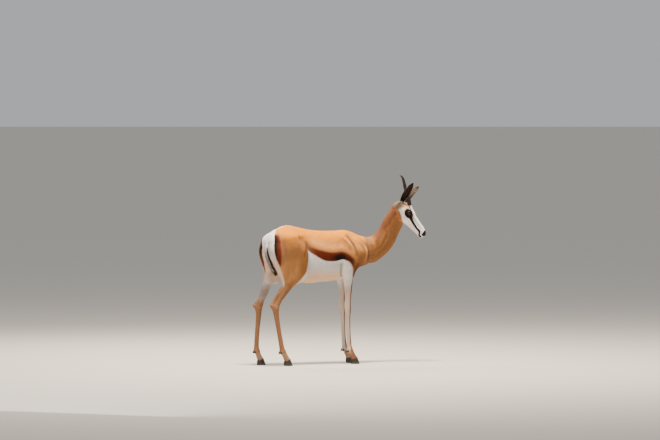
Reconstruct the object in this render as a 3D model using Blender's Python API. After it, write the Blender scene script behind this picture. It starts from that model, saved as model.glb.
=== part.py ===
"""A life-size springbok ewe, standing still with the head turned a little to its right.

The flesh is one smooth field: each muscle and bone is a loft of oval sections, and
the lofts are joined by a smooth minimum.  The field's zero surface is meshed piece
by piece, projected onto the surface and cut by planes into the nodes.  Ears, horns,
eyes, tail and hooves are solids of their own, trimmed to sit a small gap off the flesh.

World axes: +X is the way the body faces, +Y is the animal's left, +Z is up.
Units are metres.  The sections are placed from the withers (X = 0) and the floor
(Z = 0); at the end everything is moved so that the origin is under the middle.
"""
import math

import bmesh
import bpy
import numpy as np
from mathutils import Vector

# ---------------------------------------------------------------- driving sizes
GAP = 0.0003                  # clearance left between neighbouring nodes
POLL = (0.3355, -0.050, 0.945)  # top of the back of the skull
HEAD_TURN = 40.0              # degrees the head is turned to the animal's right
FACE_SLOPE = 52.4             # degrees the face drops below level
LEG_CUT = 0.460               # height of the joint between trunk and lower legs
FORE_LEAD = 0.035             # the left foreleg stands this far ahead
CORONET = 0.034               # height of the top of the hooves
FETLOCK = 0.086               # height of the fetlock joints
TOE_SPREAD = 0.0098           # half the distance between the two toes of a foot
FORELEG_X = (-0.10, 0.13)     # stretch of X that holds the lower forelegs
HINDLEG_X = (-0.62, -0.30)

EYE_CENTRE = (0.0960, 0.0375, 0.0060)   # along the face, sideways, up from the face line
EYE_RADII = (0.0165, 0.0140, 0.0125)
HORN_RINGS = 9
HORN_RINGED = (0.14, 0.64)    # shares of the length between which the horn is ringed
HORN_GROOVE = 0.90            # radius in a groove over the radius beside it
HORN_BASE_RADIUS = 0.0092
HORN_TIP_RADIUS = 0.0012
HORN_FULLNESS = 0.62          # power of the taper: under 1 keeps the middle thick
EAR_HALF_WIDTH = 0.0208
EAR_THICKNESS = 0.0032
EAR_ROOT = (0.020, 0.0310, -0.006)    # places and directions on the head: along, left, up
EAR_OPENING = (0.30, 0.90, -0.25)     # way the hollow of the ear faces
EAR_TIPS = {1: (-0.006, 0.094, 0.1254), -1: (-0.0237, 0.090, 0.1420)}
EAR_BOW = 0.012               # how far the ear bends back between root and tip
EAR_CURL_ROOT = 140.0         # half angle, in degrees, that the leaf is rolled through at its root
EAR_CURL_TIP = 45.0
TAIL_LOCKS = 14
LOCK_TURN = 2.4               # angle in radians from one lock of the tail to the next
SOLE_SLANT = (0.45, 0.893)    # slant of the coronet: forward and up shares of its normal

BODY_STEP = 0.006             # sampling distances of the field
NECK_STEP = 0.0048
LEG_STEP = 0.0034
HEAD_STEP = 0.0026

TRUNK_FACES = 2700            # triangle budgets after thinning
NECK_FACES = 520
HEAD_FACES = 2800
LEG_FACES = 540

COLOURS = {                   # linear base colour, roughness
    "tan_coat": ((0.52, 0.24, 0.09), 0.80),
    "neck_coat": ((0.38, 0.17, 0.07), 0.80),
    "white_coat": ((0.78, 0.72, 0.64), 0.80),
    "grey_coat": ((0.20, 0.15, 0.11), 0.85),
    "horn": ((0.035, 0.022, 0.016), 0.45),
    "hoof": ((0.020, 0.016, 0.014), 0.40),
    "eye": ((0.006, 0.004, 0.003), 0.08),
}

TURN = math.radians(HEAD_TURN)
SLOPE = math.radians(FACE_SLOPE)
HEAD_LEFT = np.array((math.sin(TURN), math.cos(TURN), 0.0))
FACE_AXIS = np.array((math.cos(TURN) * math.cos(SLOPE), -math.sin(TURN) * math.cos(SLOPE), -math.sin(SLOPE)))
FACE_UP = np.cross(FACE_AXIS, HEAD_LEFT)
SIDES = ((1, "left"), (-1, "right"))
TOES = ((1, "outer"), (-1, "inner"))


def head_point(along, left, up):
    """World place of a point given along the face from the poll, to the left, and up off the face line."""
    return np.array(POLL) + FACE_AXIS * along + HEAD_LEFT * left + FACE_UP * up


# ---------------------------------------------------------------- the field of the flesh
def through(stations, values, at):
    """A smooth curve through values given at rising stations, read at the places in at."""
    if len(stations) == 2:
        return np.interp(at, stations, values)
    slope = np.gradient(values, stations)
    i = np.clip(np.searchsorted(stations, at, side="right") - 1, 0, len(stations) - 2)
    span = stations[i + 1] - stations[i]
    s = (at - stations[i]) / span
    start = (1 + 2 * s) * (1 - s) ** 2 * values[i] + s * (1 - s) ** 2 * span * slope[i]
    end = s * s * (3 - 2 * s) * values[i + 1] + s * s * (s - 1) * span * slope[i + 1]
    return start + end


class Loft:
    """Oval sections along a path, each row (x, y, z, half side, half up[, half down])."""

    SAMPLES = 96

    def __init__(self, rows, side=(0.0, 1.0, 0.0), blend=0.02, end_blend=None, caps=None, taper=0.0):
        rows = np.array([tuple(row) + (row[4],) * (6 - len(row)) for row in rows], float)
        points = rows[:, :3]
        chord = points[-1] - points[0]
        self.length = float(np.linalg.norm(chord))
        self.axis = chord / self.length
        flat = np.asarray(side, float)
        flat = flat - self.axis * (flat @ self.axis)
        self.side = flat / np.linalg.norm(flat)
        self.up = np.cross(self.axis, self.side)
        if self.up[2] < 0:
            self.up = -self.up
        self.start = points[0]
        along = (points - self.start) @ self.axis
        self.table = np.linspace(0.0, self.length, self.SAMPLES)
        columns = ((points - self.start) @ self.side, (points - self.start) @ self.up, *rows[:, 3:].T)
        self.columns = [through(along, column, self.table) for column in columns]
        self.caps = caps or (min(rows[0, 3:5]), min(rows[-1, 3:5]))
        self.blend = blend
        self.end_blend = blend if end_blend is None else end_blend
        self.taper = taper
        reach = max(rows[:, 3:].max(), *self.caps) + max(self.blend, self.end_blend)
        self.low = points.min(axis=0) - reach
        self.high = points.max(axis=0) + reach

    def join(self, field, x, y, z):
        """The field with this loft joined to it by a smooth minimum."""
        x, y, z = x - self.start[0], y - self.start[1], z - self.start[2]
        along = x * self.axis[0] + y * self.axis[1] + z * self.axis[2]
        across = x * self.side[0] + y * self.side[1] + z * self.side[2]
        rise = x * self.up[0] + y * self.up[1] + z * self.up[2]
        inside = np.clip(along, 0.0, self.length)
        past = along - inside
        shift, lift, half, above, below = (np.interp(inside, self.table, c) for c in self.columns)
        across = across - shift
        rise = rise - lift
        height = np.where(rise > 0.0, above, below)
        half = half * (1.0 - self.taper * np.clip(rise / height, -1.0, 1.0))
        cap = np.where(past > 0.0, self.caps[1], self.caps[0])
        scaled = np.sqrt((across / half) ** 2 + (rise / height) ** 2 + (past / cap) ** 2) + 1e-6
        slope = np.sqrt((across / half ** 2) ** 2 + (rise / height ** 2) ** 2 + (past / cap ** 2) ** 2) + 1e-4
        distance = scaled * (scaled - 1.0) / slope
        width = self.blend + (self.end_blend - self.blend) * inside / self.length
        overlap = np.maximum(width - np.abs(field - distance), 0.0)
        return np.minimum(field, distance) - overlap * overlap / (4.0 * width)


def field_at(lofts, points):
    """Signed distance, roughly, of each point from the flesh."""
    field = np.full(len(points), 0.3)
    for loft in lofts:
        near = ((points > loft.low) & (points < loft.high)).all(axis=1)
        if near.any():
            x, y, z = points[near].T
            field[near] = loft.join(field[near], x, y, z)
    return field


def settle(lofts, points, level=0.0, rounds=2):
    """Points moved along the field's gradient onto the surface at the given level."""
    reach = 0.0006
    for _ in range(rounds):
        value = field_at(lofts, points) - level
        slope = np.stack([field_at(lofts, points + reach * step) - field_at(lofts, points - reach * step)
                          for step in np.eye(3)], axis=1) / (2.0 * reach)
        size = np.maximum((slope ** 2).sum(axis=1), 0.05)
        points = points - np.clip(value / size, -0.004, 0.004)[:, None] * slope
    return points


def surface_net(field, origin, step):
    """Vertices and quads of the zero surface of a grid, with one vertex in each cell it crosses."""
    inside = field < 0.0
    cells = np.array(field.shape) - 1
    total = np.zeros((cells.prod(), 3))
    count = np.zeros(cells.prod())
    crossings = []
    for axis in range(3):
        low = tuple(slice(0, -1) if i == axis else slice(None) for i in range(3))
        high = tuple(slice(1, None) if i == axis else slice(None) for i in range(3))
        index = np.argwhere(inside[low] != inside[high])
        before = field[low][tuple(index.T)]
        after = field[high][tuple(index.T)]
        place = index.astype(float)
        place[:, axis] += before / (before - after)
        first, second = (i for i in range(3) if i != axis)
        around = []
        valid = np.ones(len(index), bool)
        for a, b in ((-1, -1), (0, -1), (0, 0), (-1, 0)):
            cell = index.copy()
            cell[:, first] += a
            cell[:, second] += b
            good = ((cell >= 0) & (cell < cells)).all(axis=1)
            valid &= good
            flat = np.ravel_multi_index(np.where(good[:, None], cell, 0).T, cells)
            np.add.at(total, flat[good], place[good])
            np.add.at(count, flat[good], 1.0)
            around.append(flat)
        quads = np.stack(around, axis=1)[valid]
        outward = before[valid] < 0.0
        if axis == 1:
            outward = ~outward
        quads[~outward] = quads[~outward][:, ::-1]
        crossings.append(quads)
    used = np.flatnonzero(count)
    number = np.full(cells.prod(), -1)
    number[used] = np.arange(len(used))
    points = total[used] / count[used][:, None] * step + origin
    return points, number[np.concatenate(crossings)]


# ---------------------------------------------------------------- anatomy
def mirrored(rows, sign):
    """Rows given for the left side, with y turned to the side asked for."""
    return [(row[0], sign * row[1], *row[2:]) for row in rows]


def trunk_lofts():
    """Barrel, neck, breast and tail root."""
    barrel = [(-0.478, 0, 0.688, 0.052, 0.062, 0.062), (-0.440, 0, 0.688, 0.076, 0.107, 0.100),
              (-0.400, 0, 0.682, 0.088, 0.128, 0.135), (-0.330, 0, 0.662, 0.090, 0.137, 0.165),
              (-0.250, 0, 0.640, 0.101, 0.143, 0.168), (-0.150, 0, 0.628, 0.109, 0.147, 0.150),
              (-0.060, 0, 0.622, 0.102, 0.153, 0.137), (0.030, 0, 0.628, 0.078, 0.138, 0.108),
              (0.100, 0, 0.640, 0.058, 0.094, 0.066)]
    neck = [(0.085, 0, 0.650, 0.064, 0.096, 0.076), (0.150, 0, 0.662, 0.057, 0.080, 0.086),
            (0.2058, -0.003, 0.684, 0.052, 0.067, 0.077), (0.2646, -0.010, 0.738, 0.045, 0.063, 0.070),
            (0.2911, -0.022, 0.799, 0.040, 0.061, 0.069), (0.3144, -0.034, 0.846, 0.038, 0.057, 0.065),
            (0.3316, -0.045, 0.886, 0.036, 0.048, 0.055)]
    breast = [(0.150, 0, 0.642, 0.045, 0.062), (0.080, 0, 0.632, 0.046, 0.042), (0.010, 0, 0.560, 0.048, 0.042)]
    tail_root = [(-0.455, 0, 0.757, 0.030, 0.028), (-0.488, 0, 0.743, 0.018, 0.018),
                 (-0.505, 0, 0.716, 0.011, 0.010)]
    groin = [(-0.350, 0, 0.530, 0.046, 0.048), (-0.410, 0, 0.514, 0.044, 0.044),
             (-0.446, 0, 0.532, 0.034, 0.040)]
    return [Loft(barrel, blend=0.03, taper=0.22, caps=(0.030, 0.045)),
            Loft(neck, blend=0.060, end_blend=0.030, caps=(0.05, 0.022)),
            Loft(breast, blend=0.045),
            Loft(groin, blend=0.030),
            Loft(tail_root, blend=0.030, end_blend=0.010)]


def foreleg_lofts(sign):
    """Shoulder, arm, forearm, knee and cannon of one foreleg; sign is +1 for the left."""
    lead = FORE_LEAD if sign > 0 else 0.0
    elbow, knee, fetlock = -0.017 + 0.7 * lead, -0.020 + lead, -0.004 + lead
    blade = [(-0.035, 0.034, 0.725, 0.020, 0.040), (0.020, 0.058, 0.668, 0.022, 0.052),
             (0.056, 0.067, 0.638, 0.023, 0.038)]
    arm = [(0.056, 0.066, 0.634, 0.024, 0.034), (0.010 + 0.5 * lead, 0.073, 0.590, 0.026, 0.040),
           (elbow - 0.003, 0.073, 0.545, 0.024, 0.042)]
    triceps = [(-0.055, 0.060, 0.660, 0.018, 0.030), (-0.045 + 0.5 * lead, 0.075, 0.605, 0.022, 0.034),
               (elbow - 0.023, 0.074, 0.560, 0.018, 0.022)]
    ahead = 0.2 * lead
    forearm = [(elbow - 0.004, 0.074, 0.545, 0.026, 0.036),
               (elbow - 0.002 + 0.5 * ahead, 0.073, 0.490, 0.023, 0.029),
               (knee + 0.003 + ahead, 0.071, 0.430, 0.0185, 0.0225),
               (knee + 0.001 + 0.5 * ahead, 0.069, 0.370, 0.0150, 0.0185),
               (knee, 0.068, 0.345, 0.0165, 0.0195), (knee + 0.002, 0.067, 0.318, 0.0165, 0.0190),
               (knee + 0.003, 0.066, 0.292, 0.0120, 0.0145)]
    cannon = [(knee + 0.003, 0.066, 0.300, 0.0125, 0.0150), (knee + 0.006, 0.065, 0.250, 0.0105, 0.0130),
              (fetlock - 0.006, 0.064, 0.160, 0.0100, 0.0130), (fetlock - 0.002, 0.063, 0.110, 0.0125, 0.0145),
              (fetlock, 0.063, FETLOCK + 0.002, 0.0150, 0.0170)]
    return [Loft(mirrored(blade, sign), side=(0.0, 1.0, 0.15 * sign), blend=0.050),
            Loft(mirrored(arm, sign), blend=0.045),
            Loft(mirrored(triceps, sign), blend=0.040),
            Loft(mirrored(forearm, sign), blend=0.025, end_blend=0.008),
            Loft(mirrored(cannon, sign), blend=0.008),
            *pastern_lofts(sign, *fore_foot(sign))]


def hindleg_lofts(sign):
    """Thigh, stifle, gaskin, hock and cannon of one hind leg; sign is +1 for the left, set further back."""
    if sign > 0:
        thigh = [(-0.410, 0.722, 0.060), (-0.414, 0.660, 0.086), (-0.412, 0.600, 0.085), (-0.410, 0.548, 0.066),
                 (-0.418, 0.505, 0.044)]
        ham = [(-0.482, 0.728, 0.034), (-0.482, 0.670, 0.040), (-0.464, 0.600, 0.038), (-0.456, 0.545, 0.030),
               (-0.458, 0.492, 0.024)]
        stifle = [(-0.376, 0.588), (-0.366, 0.538), (-0.386, 0.500)]
        shin = [(-0.416, 0.545), (-0.468, 0.468), (-0.491, 0.416), (-0.511, 0.370), (-0.521, 0.345)]
        bone = [(-0.525, 0.326), (-0.526, 0.285), (-0.531, 0.235), (-0.538, 0.150), (-0.540, 0.105)]
    else:
        thigh = [(-0.405, 0.722, 0.062), (-0.405, 0.660, 0.086), (-0.395, 0.600, 0.089), (-0.379, 0.548, 0.072),
                 (-0.378, 0.505, 0.046)]
        ham = [(-0.466, 0.725, 0.034), (-0.472, 0.670, 0.040), (-0.452, 0.600, 0.038), (-0.431, 0.545, 0.030),
               (-0.421, 0.490, 0.023)]
        stifle = [(-0.345, 0.590), (-0.328, 0.545), (-0.345, 0.505)]
        shin = [(-0.356, 0.535), (-0.409, 0.468), (-0.454, 0.410), (-0.480, 0.370), (-0.491, 0.345)]
        bone = [(-0.494, 0.330), (-0.487, 0.285), (-0.478, 0.235), (-0.462, 0.150), (-0.453, 0.105)]
    thigh_sides = ((0.052, 0.032), (0.062, 0.038), (0.069, 0.038), (0.073, 0.034), (0.074, 0.026))
    ham_sides = ((0.050, 0.026), (0.062, 0.034), (0.068, 0.034), (0.072, 0.026), (0.074, 0.019))
    stifle_sizes = ((0.070, 0.026, 0.032), (0.077, 0.024, 0.026), (0.077, 0.020, 0.020))
    shin_sizes = ((0.079, 0.034, 0.040), (0.078, 0.026, 0.0275), (0.077, 0.020, 0.0235),
                  (0.076, 0.0155, 0.0200), (0.076, 0.0150, 0.0220))
    bone_sizes = ((0.0165, 0.0200), (0.0125, 0.0165), (0.0110, 0.0145), (0.0110, 0.0145), (0.0130, 0.0155))
    thigh = [(x, y, z, half, up) for (x, z, up), (y, half) in zip(thigh, thigh_sides)]
    ham = [(x, y, z, half, up) for (x, z, up), (y, half) in zip(ham, ham_sides)]
    stifle = [(x, y, z, half, up) for (x, z), (y, half, up) in zip(stifle, stifle_sizes)]
    gaskin = [(x, y, z, half, up) for (x, z), (y, half, up) in zip(shin, shin_sizes)]
    cannon = [(x, 0.0755, z, *size) for (x, z), size in zip(bone, bone_sizes)]
    ankle, toe = hind_foot(sign)
    cannon.append((ankle[0] - 0.002, 0.0755, FETLOCK, 0.0155, 0.0175))
    point = (bone[0][0] - 0.030, bone[0][1] + 0.023)
    cord_top = 0.070 if sign > 0 else 0.094
    cord = [(point[0] + cord_top, 0.074, point[1] + 0.110, 0.012, 0.016),
            (point[0] + 0.024, 0.076, point[1] + 0.036, 0.0065, 0.0085),
            (point[0] + 0.004, 0.076, point[1] - 0.004, 0.0085, 0.0095)]
    heel = [(point[0] + 0.005, 0.076, point[1] - 0.004, 0.0100, 0.0100),
            (bone[0][0] - 0.003, 0.076, bone[0][1] + 0.003, 0.0155, 0.0190)]
    return [Loft(mirrored(thigh, sign), side=(0.25, 1.0, 0.0), blend=0.060),
            Loft(mirrored(ham, sign), blend=0.040),
            Loft(mirrored(stifle, sign), blend=0.040),
            Loft(mirrored(gaskin, sign), blend=0.030, end_blend=0.010),
            Loft(mirrored(cord, sign), blend=0.016),
            Loft(mirrored(heel, sign), blend=0.012),
            Loft(mirrored(cannon, sign), blend=0.010),
            *pastern_lofts(sign, ankle, toe)]


def fore_foot(sign):
    """Fetlock and coronet, as (x, y, z), of a forefoot on the left side; the caller turns y."""
    lead = FORE_LEAD if sign > 0 else 0.0
    return (-0.002 + lead, 0.062, FETLOCK), (0.026 + lead, 0.064, CORONET)


def hind_foot(sign):
    """Fetlock and coronet of a hind foot."""
    if sign > 0:
        return (-0.538, 0.0755, FETLOCK), (-0.514, 0.077, CORONET)
    return (-0.447, 0.0755, FETLOCK), (-0.419, 0.077, CORONET)


def pastern_lofts(sign, ankle, toe):
    """The two toes between fetlock and coronet, and the two small claws behind them."""
    lofts = []
    between = ((ankle[0] + toe[0]) / 2.0, (ankle[2] + toe[2]) / 2.0)
    for toe_side in (-1, 1):
        spread = TOE_SPREAD * toe_side
        rows = [(ankle[0], sign * ankle[1] + 0.6 * spread, ankle[2], 0.0100, 0.0155),
                (between[0], sign * toe[1] + 0.85 * spread, between[1], 0.0092, 0.0130),
                (toe[0], sign * toe[1] + spread, toe[2], 0.0098, 0.0150)]
        lofts.append(Loft(rows, blend=0.008))
        claw = [(ankle[0] - 0.010, sign * ankle[1] + 0.9 * spread, ankle[2] - 0.003, 0.0070, 0.0070),
                (ankle[0] - 0.0185, sign * ankle[1] + 1.05 * spread, ankle[2] - 0.0115, 0.0054, 0.0054)]
        lofts.append(Loft(claw, blend=0.006))
    return lofts


def head_loft(rows, sign=1, **settings):
    """A loft whose rows are given along the face, to the left and up off the face line."""
    placed = [(*head_point(row[0], sign * row[1], row[2]), *row[3:]) for row in rows]
    return Loft(placed, side=HEAD_LEFT, **settings)


def head_lofts():
    """Skull, jaw, cheeks, brows, orbits, muzzle, lips and the roots of ears and horns."""
    face = [(0.010, 0, -0.018, 0.033, 0.020, 0.032), (0.030, 0, -0.012, 0.038, 0.025, 0.036),
            (0.058, 0, -0.010, 0.039, 0.032, 0.036), (0.094, 0, -0.010, 0.0365, 0.0340, 0.034),
            (0.120, 0, -0.012, 0.0325, 0.0345, 0.030), (0.150, 0, -0.011, 0.0265, 0.0315, 0.026),
            (0.190, 0, -0.010, 0.0215, 0.0280, 0.022), (0.220, 0, -0.010, 0.0200, 0.0270, 0.020),
            (0.238, 0, -0.011, 0.0185, 0.0235, 0.018)]
    jaw = [(0.055, 0, -0.034, 0.024, 0.022, 0.026), (0.090, 0, -0.037, 0.024, 0.020, 0.0255),
           (0.130, 0, -0.036, 0.0205, 0.018, 0.0215), (0.170, 0, -0.031, 0.0165, 0.016, 0.0180),
           (0.210, 0, -0.027, 0.0140, 0.013, 0.0145), (0.236, 0, -0.0245, 0.0135, 0.011, 0.0115)]
    chin = [(0.226, 0, -0.031, 0.0125, 0.0090), (0.241, 0, -0.0285, 0.0105, 0.0080)]
    temple = [(0.030, 0.028, -0.004, 0.010, 0.016), (0.062, 0.030, 0.004, 0.010, 0.016)]
    cheek = [(0.050, 0.026, -0.032, 0.012, 0.022), (0.085, 0.026, -0.034, 0.0125, 0.026),
             (0.118, 0.024, -0.030, 0.010, 0.020)]
    orbit = [(0.080, 0.0325, 0.0070, 0.0120, 0.0150), (0.096, 0.0345, 0.0055, 0.0125, 0.0165),
             (0.113, 0.0310, 0.0035, 0.0110, 0.0145)]
    brow = [(0.072, 0.026, 0.0150, 0.0090, 0.0080), (0.092, 0.030, 0.0160, 0.0090, 0.0065),
            (0.114, 0.025, 0.0145, 0.0075, 0.0060)]
    cheekbone = [(0.040, 0.034, -0.006, 0.007, 0.010), (0.090, 0.0380, -0.011, 0.0070, 0.008),
                 (0.140, 0.0250, -0.012, 0.006, 0.009)]
    nose_wing = [(0.222, 0.0135, -0.002, 0.0080, 0.0110), (0.240, 0.0115, -0.004, 0.0080, 0.0100),
                 (0.247, 0.0080, -0.006, 0.007, 0.0080)]
    lip = [(0.190, 0.0155, -0.023, 0.0060, 0.0095), (0.222, 0.0130, -0.021, 0.0065, 0.0090),
           (0.242, 0.0085, -0.019, 0.0070, 0.0070)]
    ear_root = [(0.030, 0.026, -0.008, 0.014, 0.016), (0.014, 0.037, 0.003, 0.0120, 0.0125)]
    horn_root = [(0.077, 0.0175, 0.012, 0.013, 0.013), (0.063, 0.0185, 0.0225, 0.0110, 0.0110)]
    lofts = [head_loft(face, blend=0.022, caps=(0.016, 0.012), taper=0.06),
             head_loft(jaw, blend=0.016, caps=(0.020, 0.010)),
             head_loft(chin, blend=0.008)]
    for sign in (-1, 1):
        for rows, blend in ((temple, 0.020), (cheek, 0.020), (orbit, 0.016), (brow, 0.014), (cheekbone, 0.016),
                            (nose_wing, 0.007), (lip, 0.008), (ear_root, 0.016), (horn_root, 0.014)):
            lofts.append(head_loft(rows, sign, blend=blend))
    return lofts


def all_lofts():
    """Every loft of the animal, in the order in which they are joined."""
    lofts = trunk_lofts()
    for sign in (-1, 1):
        lofts += foreleg_lofts(sign) + hindleg_lofts(sign)
    return lofts + head_lofts()


# ---------------------------------------------------------------- mesh tools
def new_object(name, points, faces):
    """A mesh object from points and faces, shown in the scene."""
    mesh = bpy.data.meshes.new(name)
    mesh.from_pydata([tuple(point) for point in points], [], [tuple(int(i) for i in face) for face in faces])
    mesh.update()
    thing = bpy.data.objects.new(name, mesh)
    bpy.context.scene.collection.objects.link(thing)
    return thing


def edit(thing, change):
    """Run change(bm) on the object's mesh."""
    bm = bmesh.new()
    bm.from_mesh(thing.data)
    change(bm)
    bm.to_mesh(thing.data)
    bm.free()
    thing.data.update()


def apply_modifiers(thing):
    """Replace the object's mesh by what its modifiers make of it."""
    graph = bpy.context.evaluated_depsgraph_get()
    graph.update()
    mesh = bpy.data.meshes.new_from_object(thing.evaluated_get(graph))
    thing.modifiers.clear()
    thing.data = mesh


def is_closed(mesh):
    """Whether every edge of the mesh has exactly two faces and every vertex one fan of faces."""
    bm = bmesh.new()
    bm.from_mesh(mesh)
    closed = all(edge.is_manifold for edge in bm.edges) and all(vert.is_manifold for vert in bm.verts)
    bm.free()
    return closed


def twisted_edges(mesh):
    """How many edges of the mesh have more than two faces."""
    bm = bmesh.new()
    bm.from_mesh(mesh)
    count = sum(len(edge.link_faces) > 2 for edge in bm.edges)
    bm.free()
    return count


def thin_out(thing, faces):
    """Collapse the mesh to about the given number of triangles, a few more where it would not stay closed."""
    dense = thing.data
    total = sum(len(face.vertices) - 2 for face in dense.polygons)
    for extra in range(12):
        thing.data = dense.copy()
        modifier = thing.modifiers.new("thin", "DECIMATE")
        modifier.ratio = (faces + 6 * extra) / total
        apply_modifiers(thing)
        if is_closed(thing.data):
            return


def cut_away(thing, point, normal):
    """Remove what lies past the plane on the side that normal points to, and close the cut."""
    def change(bm):
        geometry = bm.verts[:] + bm.edges[:] + bm.faces[:]
        bmesh.ops.bisect_plane(bm, geom=geometry, dist=1e-6, plane_co=Vector(point), plane_no=Vector(normal),
                               clear_outer=True)
        rim = [edge for edge in bm.edges if edge.is_boundary]
        bmesh.ops.holes_fill(bm, edges=rim, sides=0)
        bmesh.ops.triangulate(bm, faces=[face for face in bm.faces if len(face.verts) > 3])
    edit(thing, change)


def keep_largest(thing):
    """Keep only the connected surface with the most faces."""
    def change(bm):
        left = set(bm.verts)
        pieces = []
        while left:
            stack = [left.pop()]
            piece = set(stack)
            while stack:
                vert = stack.pop()
                for edge in vert.link_edges:
                    other = edge.other_vert(vert)
                    if other in left:
                        left.discard(other)
                        piece.add(other)
                        stack.append(other)
            pieces.append(piece)
        pieces.sort(key=len)
        for piece in pieces[:-1]:
            bmesh.ops.delete(bm, geom=list(piece), context="VERTS")
    edit(thing, change)


def combine(thing, tools, operation, solver="EXACT"):
    """Join the tools to the object, or cut them from it, and remove them."""
    group = bpy.data.collections.new("tools")
    for tool in tools:
        group.objects.link(tool)
    modifier = thing.modifiers.new("combine", "BOOLEAN")
    modifier.operation = operation
    modifier.operand_type = "COLLECTION"
    modifier.collection = group
    modifier.solver = solver
    modifier.use_self = operation == "UNION" and solver == "EXACT"
    apply_modifiers(thing)
    for tool in tools:
        bpy.data.objects.remove(tool)
    bpy.data.collections.remove(group)
    keep_largest(thing)


def grown(thing, name):
    """A copy of the object pushed out by the gap, for trimming its neighbours."""
    copy = bpy.data.objects.new(name, thing.data.copy())
    bpy.context.scene.collection.objects.link(copy)
    modifier = copy.modifiers.new("grow", "DISPLACE")
    modifier.strength = GAP
    modifier.mid_level = 0.0
    apply_modifiers(copy)
    return copy


def ring_faces(rings, sides):
    """Faces between rings of equal length, with a fan at each end; points come ring by ring."""
    faces = []
    for ring in range(rings - 1):
        for side in range(sides):
            after = (side + 1) % sides
            low, high = ring * sides, (ring + 1) * sides
            faces.append((low + side, low + after, high + after, high + side))
    faces.append(tuple(reversed(range(sides))))
    faces.append(tuple(range((rings - 1) * sides, rings * sides)))
    return faces


def outward(thing):
    """Turn all faces outward."""
    edit(thing, lambda bm: bmesh.ops.recalc_face_normals(bm, faces=bm.faces))


def tube(name, path, radii, sides, flat=1.0, side=(0.0, 1.0, 0.0)):
    """A closed tube along a path, with flat as its thickness across over its width along side."""
    path = np.asarray(path, float)
    heading = np.gradient(path, axis=0)
    heading /= np.linalg.norm(heading, axis=1)[:, None]
    wide = np.asarray(side, float) - heading * (heading @ np.asarray(side, float))[:, None]
    wide /= np.linalg.norm(wide, axis=1)[:, None]
    deep = np.cross(heading, wide)
    angle = np.arange(sides) * 2.0 * math.pi / sides
    ring = np.cos(angle)[None, :, None] * wide[:, None] + flat * np.sin(angle)[None, :, None] * deep[:, None]
    points = path[:, None] + np.asarray(radii)[:, None, None] * ring
    thing = new_object(name, points.reshape(-1, 3), ring_faces(len(path), sides))
    outward(thing)
    return thing


def flesh_piece(name, lofts, low, high, step, faces, cuts, frame=None):
    """The flesh inside a box of the world, or of the given frame, cut by planes and thinned.

    A cell crossed by two sheets of the surface would join them at one point, so the grid is
    shifted by a part of its step until no cell is.
    """
    start = np.array(low)
    counts = np.ceil((np.array(high) - start) / step).astype(int) + 1
    places = step * np.stack(np.meshgrid(*map(np.arange, counts), indexing="ij"), axis=-1).reshape(-1, 3)
    for shift in (0.0, 0.35, 0.7, 0.15, 0.5, 0.85):
        origin = start + shift * step
        grid = places + origin
        world = grid if frame is None else frame[0] + grid @ frame[1]
        values = field_at(lofts, world).reshape(counts)
        points, quads = surface_net(values, origin, step)
        if frame is not None:
            points = frame[0] + points @ frame[1]
        thing = new_object(name, settle(lofts, points), quads)
        keep_largest(thing)
        if twisted_edges(thing.data) == 0:
            break
        bpy.data.objects.remove(thing)
    for point, normal in cuts:
        cut_away(thing, point, normal)
    keep_largest(thing)
    thin_out(thing, faces)
    outward(thing)
    return thing


# ---------------------------------------------------------------- cuts between the pieces of flesh
NECK_CUT = np.array((0.165, 0.0, 0.670))
NECK_HEADING = np.array((0.86, -0.05, 0.50))
NECK_NORMAL = NECK_HEADING / np.linalg.norm(NECK_HEADING)
THROAT = head_point(0.105, 0.0, -0.068)
HEAD_NORMAL = FACE_AXIS * 0.290 + FACE_UP * 0.957


def make_trunk(lofts):
    """Barrel, shoulders and thighs, down to the lower legs."""
    low, high = (-0.57, -0.150, 0.44), (0.23, 0.150, 0.83)
    cuts = (((0, 0, LEG_CUT + GAP / 2), (0, 0, -1)), (NECK_CUT - NECK_NORMAL * GAP / 2, NECK_NORMAL))
    return flesh_piece("trunk", lofts, low, high, BODY_STEP, TRUNK_FACES, cuts)


def make_neck(lofts):
    """From the base of the neck to the back of the skull."""
    low, high = (0.10, -0.130, 0.54), (0.42, 0.080, 0.98)
    cuts = ((NECK_CUT + NECK_NORMAL * GAP / 2, -NECK_NORMAL), (THROAT - HEAD_NORMAL * GAP / 2, HEAD_NORMAL))
    return flesh_piece("neck", lofts, low, high, NECK_STEP, NECK_FACES, cuts)


def make_leg(name, lofts, sign, low_x, high_x, toe):
    """One lower leg, from the trunk to the coronet."""
    outside, inside, spare = 0.125, 0.0094, 0.012
    low_y, high_y = (inside, outside) if sign > 0 else (-outside, -inside)
    lean = np.array((SOLE_SLANT[0], 0.0, -SOLE_SLANT[1]))
    coronet = np.array((toe[0], 0.0, toe[2]))
    low, high = (low_x, low_y, spare), (high_x, high_y, LEG_CUT + spare)
    cuts = (((0, 0, LEG_CUT - GAP / 2), (0, 0, 1)), (coronet, lean))
    return flesh_piece(name, lofts, low, high, LEG_STEP, LEG_FACES, cuts)


def make_head(lofts):
    """The head, meshed along its own axes, with lids, nostrils and the line of the mouth."""
    frame = (np.array(POLL), np.stack((FACE_AXIS, HEAD_LEFT, FACE_UP)))
    low, high = (-0.050, -0.0637, -0.090), (0.275, 0.0637, 0.050)
    cuts = ((THROAT + HEAD_NORMAL * GAP / 2, -HEAD_NORMAL),)
    head = flesh_piece("head", lofts, low, high, HEAD_STEP, HEAD_FACES, cuts, frame)
    lids = [eye_lid(sign) for sign in (-1, 1)]
    combine(head, lids, "UNION")
    cutters = [eyeball("socket", sign, GAP) for sign in (-1, 1)]
    cutters += [nostril(sign) for sign in (-1, 1)]
    cutters.append(mouth_line(lofts))
    combine(head, cutters, "DIFFERENCE")
    return head


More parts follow.
